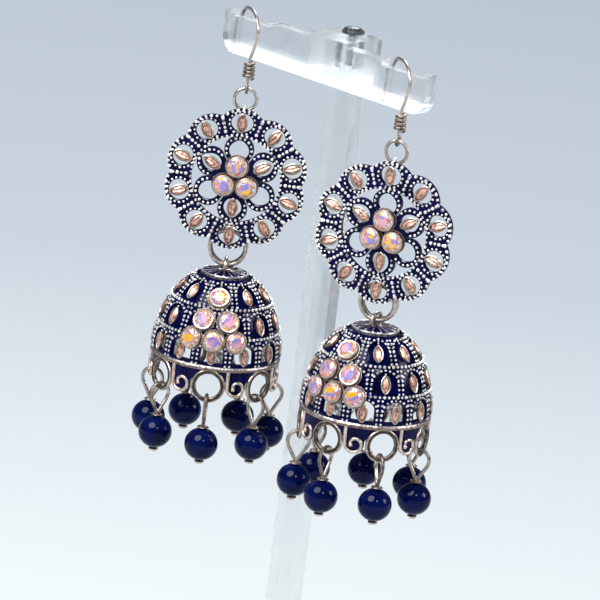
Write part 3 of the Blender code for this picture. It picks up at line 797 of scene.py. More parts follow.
class Signal:
    """A shader socket that takes part in sums."""

    def __init__(self, tree: bpy.types.NodeTree, socket: bpy.types.NodeSocket) -> None:
        """Keeps an output socket and the nodes that it is in."""
        self.tree = tree
        self.socket = socket

    def math(self, operation: str, *others: "Signal | float", clamp: bool = False) -> "Signal":
        """A Math node on this signal.

        Args:
            operation: The node's operation.
            others: Its other inputs.
            clamp: Whether the result is kept from 0 to 1.

        Returns:
            The node's output.
        """
        node = self.tree.nodes.new("ShaderNodeMath")
        node.operation = operation
        node.use_clamp = clamp
        for socket, value in zip(node.inputs, (self, *others)):
            plug(self.tree, socket, value)
        return Signal(self.tree, node.outputs[0])

    def __add__(self, other: "Signal | float") -> "Signal":
        """The sum of two signals."""
        return self.math("ADD", other)

    __radd__ = __add__

    def __sub__(self, other: "Signal | float") -> "Signal":
        """The signal less another."""
        return self.math("SUBTRACT", other)

    def __rsub__(self, other: float) -> "Signal":
        """A number less the signal."""
        return (self * -1.0) + other

    def __mul__(self, other: "Signal | float") -> "Signal":
        """The product of two signals."""
        return self.math("MULTIPLY", other)

    __rmul__ = __mul__

    def clamped(self) -> "Signal":
        """The signal kept from 0 to 1."""
        return self.math("ADD", 0.0, clamp=True)

    def ramped(self, low: float, high: float) -> "Signal":
        """The signal spread from 0 at low to 1 at high, and kept from 0 to 1."""
        return ((self - low) * (1.0 / (high - low))).clamped()

    def blend(self, low: "Signal | Sequence[float]", high: "Signal | Sequence[float]") -> "Signal":
        """A colour between two, by this signal.

        Args:
            low: The colour at 0.
            high: The colour at 1.

        Returns:
            The mixed colour.
        """
        node = self.tree.nodes.new("ShaderNodeMix")
        node.data_type = "RGBA"
        plug(self.tree, node.inputs["Factor"], self)
        plug(self.tree, node.inputs[6], low)
        plug(self.tree, node.inputs[7], high)
        return Signal(self.tree, node.outputs[2])


def plug(
    tree: bpy.types.NodeTree,
    socket: bpy.types.NodeSocket,
    value: Signal | float | Sequence[float],
) -> None:
    """Links a signal to a socket, or sets the socket's own value.

    Args:
        tree: The material's nodes.
        socket: The input.
        value: A signal, a number or a colour.
    """
    if isinstance(value, Signal):
        tree.links.new(value.socket, socket)
    elif isinstance(value, (int, float)):
        socket.default_value = float(value)
    else:
        opaque = (1.0,) if len(value) == 3 and socket.type == "RGBA" else ()
        socket.default_value = (*value, *opaque)


class Shader:
    """A material in the making, with one Principled BSDF."""

    def __init__(self, name: str) -> None:
        """Starts a material.

        Args:
            name: The material's name.
        """
        self.material = bpy.data.materials.new(name)
        self.material.use_nodes = True
        self.tree = self.material.node_tree
        self.surface = self.tree.nodes["Principled BSDF"]

    def node(
        self,
        kind: str,
        output: int | str = 0,
        inputs: dict | None = None,
        **settings: object,
    ) -> Signal:
        """A node and one of its outputs.

        Args:
            kind: The node's type, without ShaderNode.
            output: The output wished for.
            inputs: Values or signals for its inputs.
            settings: Its other settings.

        Returns:
            The output.
        """
        made = self.tree.nodes.new("ShaderNode" + kind)
        for key, value in settings.items():
            setattr(made, key, value)
        for key, value in (inputs or {}).items():
            plug(self.tree, made.inputs[key], value)
        return Signal(self.tree, made.outputs[output])

    def place(self) -> Signal:
        """Object coordinates."""
        return self.node("TexCoord", "Object")

    def axis(self, index: int) -> Signal:
        """One of the three object coordinates, by its number."""
        return self.node("SeparateXYZ", index, {0: self.place()})

    def tone(self) -> Signal:
        """The tone that the mesh carries."""
        return self.node("Attribute", "Fac", attribute_name="tone")

    def noise(self, scale: float, detail: float = 2.0, roughness: float = 0.5) -> Signal:
        """Noise over object coordinates, with its scale in waves to a metre."""
        inputs = {"Vector": self.place(), "Scale": scale, "Detail": detail, "Roughness": roughness}
        return self.node("TexNoise", "Fac", inputs)

    def bump(self, height: Signal, distance: float, strength: float = 1.0) -> Signal:
        """A normal bumped by a height signal, with the bump's depth in metres."""
        return self.node("Bump", 0, {"Height": height, "Distance": distance, "Strength": strength})

    def finish(self, **sockets: Signal | float | Sequence[float]) -> bpy.types.Material:
        """Fills the Principled BSDF's inputs.

        Args:
            sockets: Values by input name, with _ for a space.

        Returns:
            The material.
        """
        for key, value in sockets.items():
            plug(self.tree, self.surface.inputs[key.replace("_", " ")], value)
        log.info("finish %s", self.material.name)
        return self.material


@dataclass(frozen=True)
class AntiqueSilver:
    """Worn silver plate: bright where it is rubbed, brown-grey where it isn't and in painted shade.
    """

    name: str = "antique_silver"
    bright: tuple[float, float, float] = (0.66, 0.57, 0.51)
    dull: tuple[float, float, float] = (0.055, 0.038, 0.030)
    wear: float = 0.55

    def material(self) -> bpy.types.Material:
        """The material.

        Returns:
            The finished material.
        """
        shader = Shader(self.name)
        cloud = shader.noise(900, 4.0, 0.6)
        scratch = shader.noise(9000, 2.0)
        worn = cloud.ramped(0.38, 0.66) * (1 - self.wear) + scratch.ramped(0.5, 0.8) * 0.25
        # Brown-grey where the tone falls: the tarnished finish, and painted shade on one side of
        # the wires.
        tarnish_and_shade = (worn + (1 - shader.tone())).clamped()
        return shader.finish(
            Base_Color=tarnish_and_shade.blend(self.bright, self.dull),
            Metallic=1.0,
            Roughness=0.2 + tarnish_and_shade * 0.35 + scratch * 0.08,
            Normal=shader.bump(scratch, 0.00002, 0.4),
        )


@dataclass(frozen=True)
class RubbedGrain:
    """The tops of the milgrain, rubbed pale and satin, with a few still tarnished."""

    pale: tuple[float, float, float] = (0.93, 0.91, 0.89)
    brown: tuple[float, float, float] = (0.30, 0.25, 0.23)

    def material(self) -> bpy.types.Material:
        """The material.

        Returns:
            The finished material.
        """
        shader = Shader("rubbed_grain")
        cloud = shader.noise(1100, 2.0)
        return shader.finish(
            Base_Color=cloud.ramped(0.50, 0.68).blend(self.pale, self.brown),
            Metallic=0.6,
            Roughness=0.22 + cloud * 0.2,
            Normal=shader.bump(cloud, 0.00003, 0.3),
        )


@dataclass(frozen=True)
class EnamelledSilver:
    """Silver rims where the tone is 1 and glossy navy enamel in the ground where it is 0."""

    silver: tuple[float, float, float] = (0.82, 0.78, 0.75)
    recess: tuple[float, float, float] = (0.16, 0.14, 0.16)
    navy: tuple[float, float, float] = (0.0005, 0.0008, 0.016)
    pale: tuple[float, float, float] = (0.0015, 0.003, 0.060)

    def material(self) -> bpy.types.Material:
        """The material.

        Returns:
            The finished material.
        """
        shader = Shader("enamelled_silver")
        metal = shader.tone().ramped(0.35, 0.6)
        cloud = shader.noise(1300, 3.0, 0.6)
        pool = shader.noise(500, 2.0)
        worn = cloud.ramped(0.40, 0.62)
        silver = worn.blend(self.recess, self.silver)
        enamel = pool.ramped(0.35, 0.7).blend(self.navy, self.pale)
        return shader.finish(
            Base_Color=metal.blend(enamel, silver),
            Metallic=metal,
            Roughness=metal * (0.16 + (1 - worn) * 0.2) + 0.12,
            Coat_Weight=(1 - metal) * 0.04,
            Specular_IOR_Level=0.08,
            Normal=shader.bump(pool * 0.6 + cloud * 0.4, 0.00005, 0.35),
        )


@dataclass(frozen=True)
class RoseLeaf:
    """The copper-rose plating of the leaves, umber towards their edges and backs, where the tone
    falls.
    """

    rose: tuple[float, float, float] = (0.86, 0.50, 0.39)
    umber: tuple[float, float, float] = (0.13, 0.055, 0.045)

    def material(self) -> bpy.types.Material:
        """The material.

        Returns:
            The finished material.
        """
        shader = Shader("rose_leaf")
        cloud = shader.noise(1500, 3.0, 0.6)
        # Umber where the leaf's tone falls, towards its edges and back, and in patches of noise.
        rubbed = cloud.ramped(0.33, 0.56) * shader.tone().ramped(0.05, 0.6)
        return shader.finish(
            Base_Color=rubbed.blend(self.umber, self.rose),
            Metallic=0.72,
            Roughness=0.22 + cloud * 0.2,
            Normal=shader.bump(cloud, 0.00006, 0.5),
        )


@dataclass(frozen=True)
class RainbowStone:
    """A foiled stone with an iridescent coat: each facet throws another colour."""

    gold: tuple[float, float, float] = (0.82, 0.47, 0.04)
    orange: tuple[float, float, float] = (0.72, 0.20, 0.05)
    pink: tuple[float, float, float] = (0.66, 0.34, 0.40)
    violet: tuple[float, float, float] = (0.25, 0.22, 0.58)
    ice: tuple[float, float, float] = (0.62, 0.70, 0.78)

    def material(self) -> bpy.types.Material:
        """The material.

        Returns:
            The finished material.
        """
        shader = Shader("rainbow_stone")
        spread = shader.noise(330, 1.0)
        facet = shader.noise(1300, 1.0)
        spark = shader.noise(2100, 1.0)
        warm = facet.ramped(0.44, 0.56).blend(self.gold, self.orange)
        cool = facet.ramped(0.44, 0.56).blend(self.ice, self.violet)
        crown = spark.ramped(0.45, 0.55).blend(warm, cool)
        table = spread.ramped(0.40, 0.50).blend(self.pink, self.violet)
        table = spread.ramped(0.54, 0.62).blend(table, self.gold)
        edge = (shader.tone() + (facet - 0.5) * 1.2).ramped(0.35, 0.6)
        return shader.finish(
            Base_Color=edge.blend(table, crown),
            Metallic=0.3,
            Roughness=0.1 + spark * 0.1,
            Coat_Weight=0.1,
            Coat_Roughness=0.02,
        )


@dataclass(frozen=True)
class NavyBead:
    """A deep navy glass bead with a high gloss."""

    deep: tuple[float, float, float] = (0.0003, 0.0012, 0.022)
    clear: tuple[float, float, float] = (0.0008, 0.005, 0.064)

    def material(self) -> bpy.types.Material:
        """The material.

        Returns:
            The finished material.
        """
        shader = Shader("navy_bead")
        cloud = shader.noise(300, 2.0)
        return shader.finish(
            Base_Color=cloud.ramped(0.3, 0.7).blend(self.deep, self.clear),
            Roughness=0.05 + cloud.ramped(0.5, 0.9) * 0.06,
            Specular_IOR_Level=0.1,
            Coat_Weight=0.06,
            Coat_Roughness=0.06,
            Normal=shader.bump(cloud, 0.00004, 0.15),
        )


@dataclass(frozen=True)
class ClearAcrylic:
    """Clear acrylic with polished faces and a trace of handling marks.

    Where the solid's tone, which is its height in metres, is under lit_under, an emitted white band
    of painted light stands for the light that gathers in a bar's lower edge.
    """

    name: str = "clear_acrylic"
    alpha: float = 0.7
    lit_under: float = 0.0
    lit_alpha: float = 0.92
    lit_edge: float = 0.0004
    glow: tuple[float, float, float] = (0.34, 0.36, 0.38)
    tint: tuple[float, float, float] = (0.93, 0.96, 0.98)

    def material(self) -> bpy.types.Material:
        """The material.

        Returns:
            The finished material.
        """
        shader = Shader(self.name)
        marks = shader.noise(420, 4.0, 0.7)
        # Painted light: under lit_under the bar glows white by emission and turns more opaque.
        band = 1 - shader.tone().ramped(self.lit_under - self.lit_edge, self.lit_under)
        return shader.finish(
            Base_Color=marks.ramped(0.2, 0.9).blend(self.tint, (1.0, 1.0, 1.0)),
            Roughness=0.02 + marks.ramped(0.55, 0.8) * 0.06,
            IOR=1.49,
            Transmission_Weight=1.0,
            Emission_Color=band.blend((0.0, 0.0, 0.0), self.glow),
            Emission_Strength=1.0,
            Alpha=self.alpha + band * (self.lit_alpha - self.alpha),
        )


@dataclass(frozen=True)
class DarkScrew:
    """Blackened steel, a little rubbed on its dome."""

    dark: tuple[float, float, float] = (0.05, 0.055, 0.065)
    rubbed: tuple[float, float, float] = (0.24, 0.25, 0.27)

    def material(self) -> bpy.types.Material:
        """The material.

        Returns:
            The finished material.
        """
        shader = Shader("dark_screw")
        cloud = shader.noise(1800, 3.0)
        return shader.finish(
            Base_Color=cloud.ramped(0.45, 0.75).blend(self.dark, self.rubbed),
            Metallic=0.8,
            Roughness=0.3 + cloud * 0.2,
            Normal=shader.bump(cloud, 0.00003, 0.3),
        )


@dataclass(frozen=True)
class PaleGround:
    """The pale floor, white in front and blue-grey further back, along a line over the floor."""

    near: tuple[float, float, float] = (0.80, 0.865, 0.885)
    middle: tuple[float, float, float] = (0.505, 0.575, 0.655)
    far: tuple[float, float, float] = (0.43, 0.50, 0.575)
    line: tuple[float, float] = (-0.676, 0.737)

    def material(self) -> bpy.types.Material:
        """The material.

        Returns:
            The finished material.
        """
        shader = Shader("pale_ground")
        depth = shader.axis(0) * self.line[0] + shader.axis(1) * self.line[1]
        close = depth.ramped(0.06, 0.42).blend(self.near, self.middle)
        return shader.finish(
            Base_Color=(0.04, 0.04, 0.04),
            Roughness=0.9,
            Emission_Color=depth.ramped(0.42, 0.95).blend(close, self.far),
            Emission_Strength=1.0,
        )


@dataclass
class Finishes:
    """Every material, made once."""

    silver: bpy.types.Material
    rosy: bpy.types.Material
    grain: bpy.types.Material
    enamel: bpy.types.Material
    leaf: bpy.types.Material
    stone: bpy.types.Material
    bead: bpy.types.Material
    acrylic: bpy.types.Material
    bar: bpy.types.Material
    post: bpy.types.Material
    screw: bpy.types.Material
    ground: bpy.types.Material

    @classmethod
    def made(cls) -> "Finishes":
        """All the materials.

        Returns:
            The set of them.
        """
        return cls(
            AntiqueSilver().material(),
            AntiqueSilver("rosy_silver", (0.82, 0.68, 0.60), dull=(0.14, 0.08, 0.06)).material(),
            RubbedGrain().material(),
            EnamelledSilver().material(),
            RoseLeaf().material(),
            RainbowStone().material(),
            NavyBead().material(),
            ClearAcrylic().material(),
            ClearAcrylic("clear_bar", alpha=0.6, lit_under=0.1576).material(),
            ClearAcrylic("clear_post", alpha=0.5).material(),
            DarkScrew().material(),
            PaleGround().material(),
        )


# Objects


def linked(name: str, data: bpy.types.ID) -> bpy.types.Object:
    """A new object in the scene, at the origin.

    Args:
        name: The object's name.
        data: Its mesh, light or camera.

    Returns:
        The object.
    """
    made = bpy.data.objects.new(name, data)
    bpy.context.scene.collection.objects.link(made)
    return made


def toward(azimuth: float, elevation: float) -> Vector:
    """The way from what is looked at to a view or a light, by its angles in radians."""
    level = math.cos(elevation)
    return Vector((math.sin(azimuth) * level, -math.cos(azimuth) * level, math.sin(elevation)))


@dataclass
class Maker:
    """Makes Blender objects from surfaces and ties them to the frame."""

    body: str
    place: Matrix

    def piece(
        self,
        name: str,
        patch: Patch,
        material: bpy.types.Material,
        slot: Slot,
        nodes: Sequence[str] = (),
        flat: bool = False,
    ) -> None:
        """Makes one object that rides on the body.

        Args:
            name: The object's name.
            patch: Its surface, in millimetres in the maker's frame.
            material: Its material.
            slot: The record's slot. Not used.
            nodes: The solids that it stands for.
            flat: Whether its facets stay flat.
        """
        mesh = bpy.data.meshes.new(name)
        quads, tris = len(patch.quads), len(patch.tris)
        mesh.vertices.add(len(patch.points))
        mesh.loops.add(4 * quads + 3 * tris)
        mesh.polygons.add(quads + tris)
        matrix = np.array(self.place)
        points = patch.points * MM @ matrix[:3, :3].T + matrix[:3, 3]
        mesh.vertices.foreach_set("co", points.astype(np.float32).ravel())
        corners = np.concatenate([patch.quads.ravel(), patch.tris.ravel()])
        mesh.loops.foreach_set("vertex_index", corners.astype(np.int32))
        starts = np.concatenate([np.arange(quads) * 4, 4 * quads + np.arange(tris) * 3])
        mesh.polygons.foreach_set("loop_start", starts.astype(np.int32))
        mesh.update(calc_edges=True)
        mesh.validate()
        tone = mesh.attributes.new("tone", "FLOAT", "POINT")
        tone.data.foreach_set("value", patch.tone.astype(np.float32))
        if flat:
            mesh.shade_flat()
        else:
            mesh.shade_smooth()
            mesh.set_sharp_from_angle(angle=SHARP_EDGE)
        mesh.materials.append(material)
        made = linked(name, mesh)
        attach(made, self.body)
        if nodes:
            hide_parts(*nodes)
        log.info("piece %s: %d faces", name, quads + tris)


@dataclass
class Hook:
    """The ear hook and its coil, which stay on the crossbar."""

    side: Side
    maker: Maker
    links: Links
    rosette_turn: float

    def wire_path(self) -> Array:
        """The hook's wire: an open eye, a stem through the coil, the arch and the back leg.

        Returns:
            The points of a smooth curve, in millimetres from the eye.
        """
        links = self.links
        eye = links.eye_inner + links.hook_wire / 2
        eye_z = links.eye_inner - links.jump_wire / 2 - links.eye_play
        angles = np.radians([35, 5, -25, -55, -85, -115, -145, -175, -205, -232])
        way = np.array([math.sin(self.rosette_turn), -math.cos(self.rosette_turn), 0.0])
        ring = np.outer(eye * np.cos(angles), way)
        ring[:, 2] += eye_z + eye * np.sin(angles)
        stem = np.array([[0.0, 0.0, eye_z + eye + links.hook_wire]])
        start = links.coil_start + links.coil_length + links.coil_wire / 2
        span = links.hook_height - start
        front = [(0.0, 0.0), (0.10, 0.09), (0.55, 0.28), (0.93, 0.50), (0.95, 0.70), (0.45, 0.89)]
        back = [(0.13, 0.99), (0.40, 1.00), (0.70, 0.955), (0.92, 0.80)]
        back += [(1.00, 0.57), (1.00, 0.30), (1.02, 0.10), (1.12, -0.05)]
        front, back = np.array(front), np.array(back)
        reach = -2 * links.lean - links.gap
        forward = np.concatenate([front[:, 0] * links.hook_bulge, back[:, 0] * reach])
        arch = np.outer(forward, [math.sin(links.hook_turn), -math.cos(links.hook_turn), 0.0])
        arch[:, 2] += start + span * np.concatenate([front[:, 1], back[:, 1]])
        return smooth(np.vstack([ring, stem, arch]), 8)

    def build(self, finishes: Finishes) -> None:
        """Makes the hook and the coil.

        Args:
            finishes: The materials.
        """
        links, name, piece = self.links, self.side.value, self.maker.piece
        normal = (math.cos(links.hook_turn), math.sin(links.hook_turn), 0.0)
        hook = tube(self.wire_path(), links.hook_wire / 2, normal, sides=16)
        piece(f"{name}_hook_wire", hook, finishes.silver, Slot.SILVER, [f"{name}_ear_hook"])
        share = np.linspace(0, 1, round(links.coil_turns * 28) + 1)
        around = FULL_TURN * links.coil_turns * share
        radius = links.coil_bottom + (links.coil_top - links.coil_bottom) * share
        height = links.coil_start + links.coil_length * share
        path = columns(radius * np.cos(around), radius * np.sin(around), height)
        coil = tube(path, links.coil_wire / 2, (0, 0, 1), sides=12)
        piece(f"{name}_coil_wire", coil, finishes.silver, Slot.SILVER, [f"{name}_hook_coil"])


@dataclass
class Rosette:
    """The pierced rosette with its stones, and the rings that it hangs from and carries."""

    side: Side
    maker: Maker
    links: Links
    sizes: RosetteSizes

    @property
    def front(self) -> float:
        """The height of the enamel ground in front of the plate's middle."""
        return self.sizes.thickness / 2

    def face(self, flat: Array, height: Array | float) -> Array:
        """Points over the plate's face, from places across and up and heights over its ground."""
        return columns(flat[..., 0], -(self.front + np.asarray(height, float)), flat[..., 1])

    def scallop(self) -> tuple[float, float]:
        """The arc of a lobe's edge, through its tip and its two notches.

        Returns:
            The distance of the arc's middle from the rosette's, and the arc's radius.
        """
        half = math.pi / self.sizes.lobes
        x, y = self.sizes.notch * math.sin(half), self.sizes.notch * math.cos(half)
        tip = self.sizes.radius
        middle = (tip**2 - x**2 - y**2) / (2 * (tip - y))
        return middle, tip - middle

    def lobe_edge(self, inset: float, count: int = 40) -> Array:
        """The lobe's scalloped edge, from notch to notch.

        Args:
            inset: How far inside the edge.
            count: Points along it.

        Returns:
            (count, 2) places.
        """
        middle, radius = self.scallop()
        half = math.pi / self.sizes.lobes
        across, up = self.sizes.notch * math.sin(half), self.sizes.notch * math.cos(half)
        notch = math.atan2(across, up - middle)
        around = np.linspace(-notch, notch, count)
        radius = radius - inset
        return columns(radius * np.sin(around), middle + radius * np.cos(around))

    def oval(
        self, centre: float, across: float, along: float, count: int = 96, tip: float = 0.0
    ) -> Array:
        """An oval on the lobe's middle line.

        Args:
            centre: Its middle's distance from the rosette's.
            across: Half its width.
            along: Half its height.
            count: Points round it.
            tip: How far its outer end is drawn out, as a share of half its height.

        Returns:
            (count, 2) places.
        """
        around = steps_round(count)
        pull = 1 + tip * np.maximum(np.sin(around), 0) ** 6
        return columns(across * np.cos(around), centre + along * np.sin(around) * pull)

    def round_copies(self, patch: Patch, count: int, first: float = 0.0) -> Patch:
        """Copies of a surface round the rosette, the first one set round by a share of the step."""
        return patch.placed(turns("Y", steps_round(count, first)))

    def framed(self, opening: Opening) -> Patch:
        """An opening's frame on the rosette's face.

        Args:
            opening: The opening.

        Returns:
            The closed surface.
        """
        flat, heights, tones = opening.section()
        tone = np.broadcast_to(tones, flat.shape[:2])
        return Patch.grid(self.face(flat, heights), wrap_rows=True, wrap_columns=True, tone=tone)

    def plate(self) -> Patch:
        """The pierced ground: ten lobes, the beaded ring's base and six petals.

        Returns:
            The closed surfaces.
        """
        sizes = self.sizes
        half, inner_radius = math.pi / sizes.lobes, sizes.band - 0.35
        arc = np.linspace(half, -half, 24)
        foot = inner_radius * columns(np.sin(arc), np.cos(arc))
        edge = self.lobe_edge(0.0)
        sides = filled(np.vstack([edge[-1:], foot, edge[:1]]), OUTLINE_STEP, closed=False)
        outline, middle = np.vstack([edge, sides]), np.array([0.0, sizes.leaf_centre])
        cell = self.oval(sizes.leaf_centre, *sizes.cell)
        lobe = Opening(cell, outline, middle, rim=0.3, rise=0.25, depth=sizes.thickness, rays=96)
        pieces = [self.round_copies(self.framed(lobe), sizes.lobes)]
        open_petal, leaf_petal = (2.35, 2.35, 0.1), (2.1, 2.25, 0.25)
        for first, opening in ((0.0, open_petal), (0.5, leaf_petal)):
            petal = self.framed(self.petal(*opening))
            pieces.append(self.round_copies(petal, sizes.petals // 2, first))
        back = -sizes.thickness
        ring = np.array([(0.5, 0.15), (0, 0.25), (-0.5, 0.15), (-0.5, back), (0.5, back)])
        ring[:, 0] += sizes.band
        hub = np.array([(0, 0.05), (4.6, 0.05), (4.9, 0), (4.9, back), (0, back)])
        band = turned(ring, 120, closed=True, tone=[0.2, 0.1, 0.2, 0.2, 0.2])
        disc = turned(hub, 72, tone=[0, 0, 0.2, 0.2, 0.2])
        upright = shifts([0, -self.front, 0]) @ turns("X", math.pi / 2)
        return Patch.joined([*pieces, band.placed(upright), disc.placed(upright)])

    def petal(self, across: float, along: float, tip: float) -> Opening:
        """The frame of one inner petal: round at its head, straight-sided towards the middle.

        Args:
            across: Half the opening's width.
            along: Half the opening's height.
            tip: How far the opening is drawn out to a point.

        Returns:
            The opening.
        """
        centre, side = self.sizes.petal_centre, self.sizes.petal_side
        around = np.linspace(math.radians(-35), math.radians(215), 60)
        head = columns(3.55 * np.cos(around), centre + 0.35 + 3.3 * np.sin(around))
        foot = 0.4 * np.array([[-math.sin(side), math.cos(side)], [math.sin(side), math.cos(side)]])
        sides = filled(np.vstack([head[-1:], foot, head[:1]]), OUTLINE_STEP, closed=False)
        outline = np.vstack([head, sides])
        edge = outline[:, 1] * math.tan(side)
        outline[:, 0] = np.clip(outline[:, 0], -edge, edge)
        opening, middle = self.oval(centre, across, along, tip=tip), np.array([0.0, centre])
        depth = self.sizes.thickness
        return Opening(opening, outline, middle, rim=0.34, rise=0.28, depth=depth, rays=84)

    def grains(self) -> Patch:
        """The milgrain: on every lobe's edge, between lobes, round every opening, on the ring.

        Returns:
            The grains and the soldered loops.
        """
        sizes, links, face = self.sizes, self.links, self.face
        edge = milgrain(face(self.lobe_edge(0.2), 0.04), 0.4)
        oval = self.oval(sizes.leaf_centre, sizes.cell[0] + 0.42, sizes.cell[1] + 0.4)
        cell = milgrain(face(oval, 0.16), 0.3, closed=True, gap=3.6)
        circle = ring_path(sizes.band - 0.3, 160, "XY")[:, :2]
        out = np.linspace(sizes.notch - 0.6, sizes.band + 0.85, 12)
        seam = milgrain(face(columns(0, out), 0.12), 0.42, gap=2.75)
        around = np.linspace(math.radians(-20), math.radians(200), 60)
        arch = columns(3.0 * np.cos(around), sizes.petal_centre + 0.2 + 2.95 * np.sin(around))
        head = milgrain(face(arch, 0.16), 0.34)
        top = (0, links.plate_to_jump, sizes.radius - sizes.top_loop)
        wires = links.bail_spacing + links.bail_wire
        width = (wires + sizes.loop_slack + 2 * sizes.loop_wire) / 2
        bottom = (0, links.plate_to_bail, sizes.bottom_loop - sizes.radius)
        stretch = sizes.bottom_radius / width
        lines = [
            self.round_copies(edge, sizes.lobes),
            self.round_copies(cell, sizes.lobes),
            milgrain(face(circle, 0.26), 0.36, closed=True),
            self.round_copies(seam, sizes.lobes, 0.5),
            self.round_copies(head, sizes.petals),
            wire_ring(sizes.top_radius, sizes.loop_wire, top, "YZ", 40).toned(1.0),
            wire_ring(width, sizes.loop_wire, bottom, "YZ", 48, stretch).toned(1.0),
        ]
        return Patch.joined(lines)

    def build(self, finishes: Finishes) -> None:
        """Makes the rosette, its stones and its rings.

        Args:
            finishes: The materials.
        """
        sizes, links = self.sizes, self.links
        name, piece = self.side.value, self.maker.piece
        plate = self.plate()
        piece(f"{name}_rosette_plate", plate, finishes.enamel, Slot.ENAMEL, [f"{name}_rosette"])
        piece(f"{name}_rosette_grains", self.grains(), finishes.grain, Slot.SILVER)
        length, width = sizes.leaf_size
        edge = leaf_edge(length + 0.15, width + 0.15, wire=0.2, lift=0.66)
        leaves, edges = [], []
        for centre, longer, count, first in (
            (sizes.leaf_centre, 0.0, sizes.lobes, 0.0),
            (sizes.petal_centre, 0.3, sizes.petals // 2, 0.5),
        ):
            seat = shifts(self.face(np.array([[0.0, centre]]), -sizes.leaf_sink))
            swell = leaf(length + longer, width, sizes.leaf_rise).placed(seat)
            leaves.append(self.round_copies(swell, count, first))
            edges.append(self.round_copies(edge.placed(seat), count, first))
        piece(f"{name}_rosette_leaves", Patch.joined(leaves), finishes.leaf, Slot.SILVER)
        piece(f"{name}_rosette_leaf_edges", Patch.joined(edges), finishes.silver, Slot.SILVER)
        angles = steps_round(3)
        places = sizes.stone_orbit * columns(np.sin(angles), np.cos(angles))
        cup = Bezel(sizes.stone + 0.05, wall=0.4, height=1.45).patch()
        cups = cup.placed(shifts(self.face(places, 0.0)))
        piece(f"{name}_rosette_bezels", cups, finishes.rosy, Slot.SILVER)
        stone = CutStone(sizes.stone, crown=0.62, girdle=0.15, pavilion=0.7).patch()
        for i, place in enumerate(self.face(places, sizes.stone_lift), 1):
            gem, node = stone.placed(shifts(place)), f"{name}_rosette_stone_{i}"
            piece(f"{name}_rosette_gem_{i}", gem, finishes.stone, Slot.CRYSTAL, [node], flat=True)
        middle = (0, links.plate_to_jump, sizes.radius - sizes.top_loop + links.jump_radius)
        jump = wire_ring(links.jump_radius, links.jump_wire / 2, middle, sides=14)
        piece(f"{name}_jump_wire", jump, finishes.silver, Slot.SILVER, [f"{name}_jump_ring"])
        for i, way in enumerate((-1, 1), 1):
            away = links.plate_to_bail + way * links.bail_spacing / 2
            middle = (0, away, sizes.bottom_loop - sizes.radius - links.bail_radius)
            bail = wire_ring(links.bail_radius, links.bail_wire / 2, middle, steps=80, sides=16)
            node = f"{name}_bail_ring_{i}"
            piece(f"{name}_bail_wire_{i}", bail, finishes.silver, Slot.SILVER, [node])


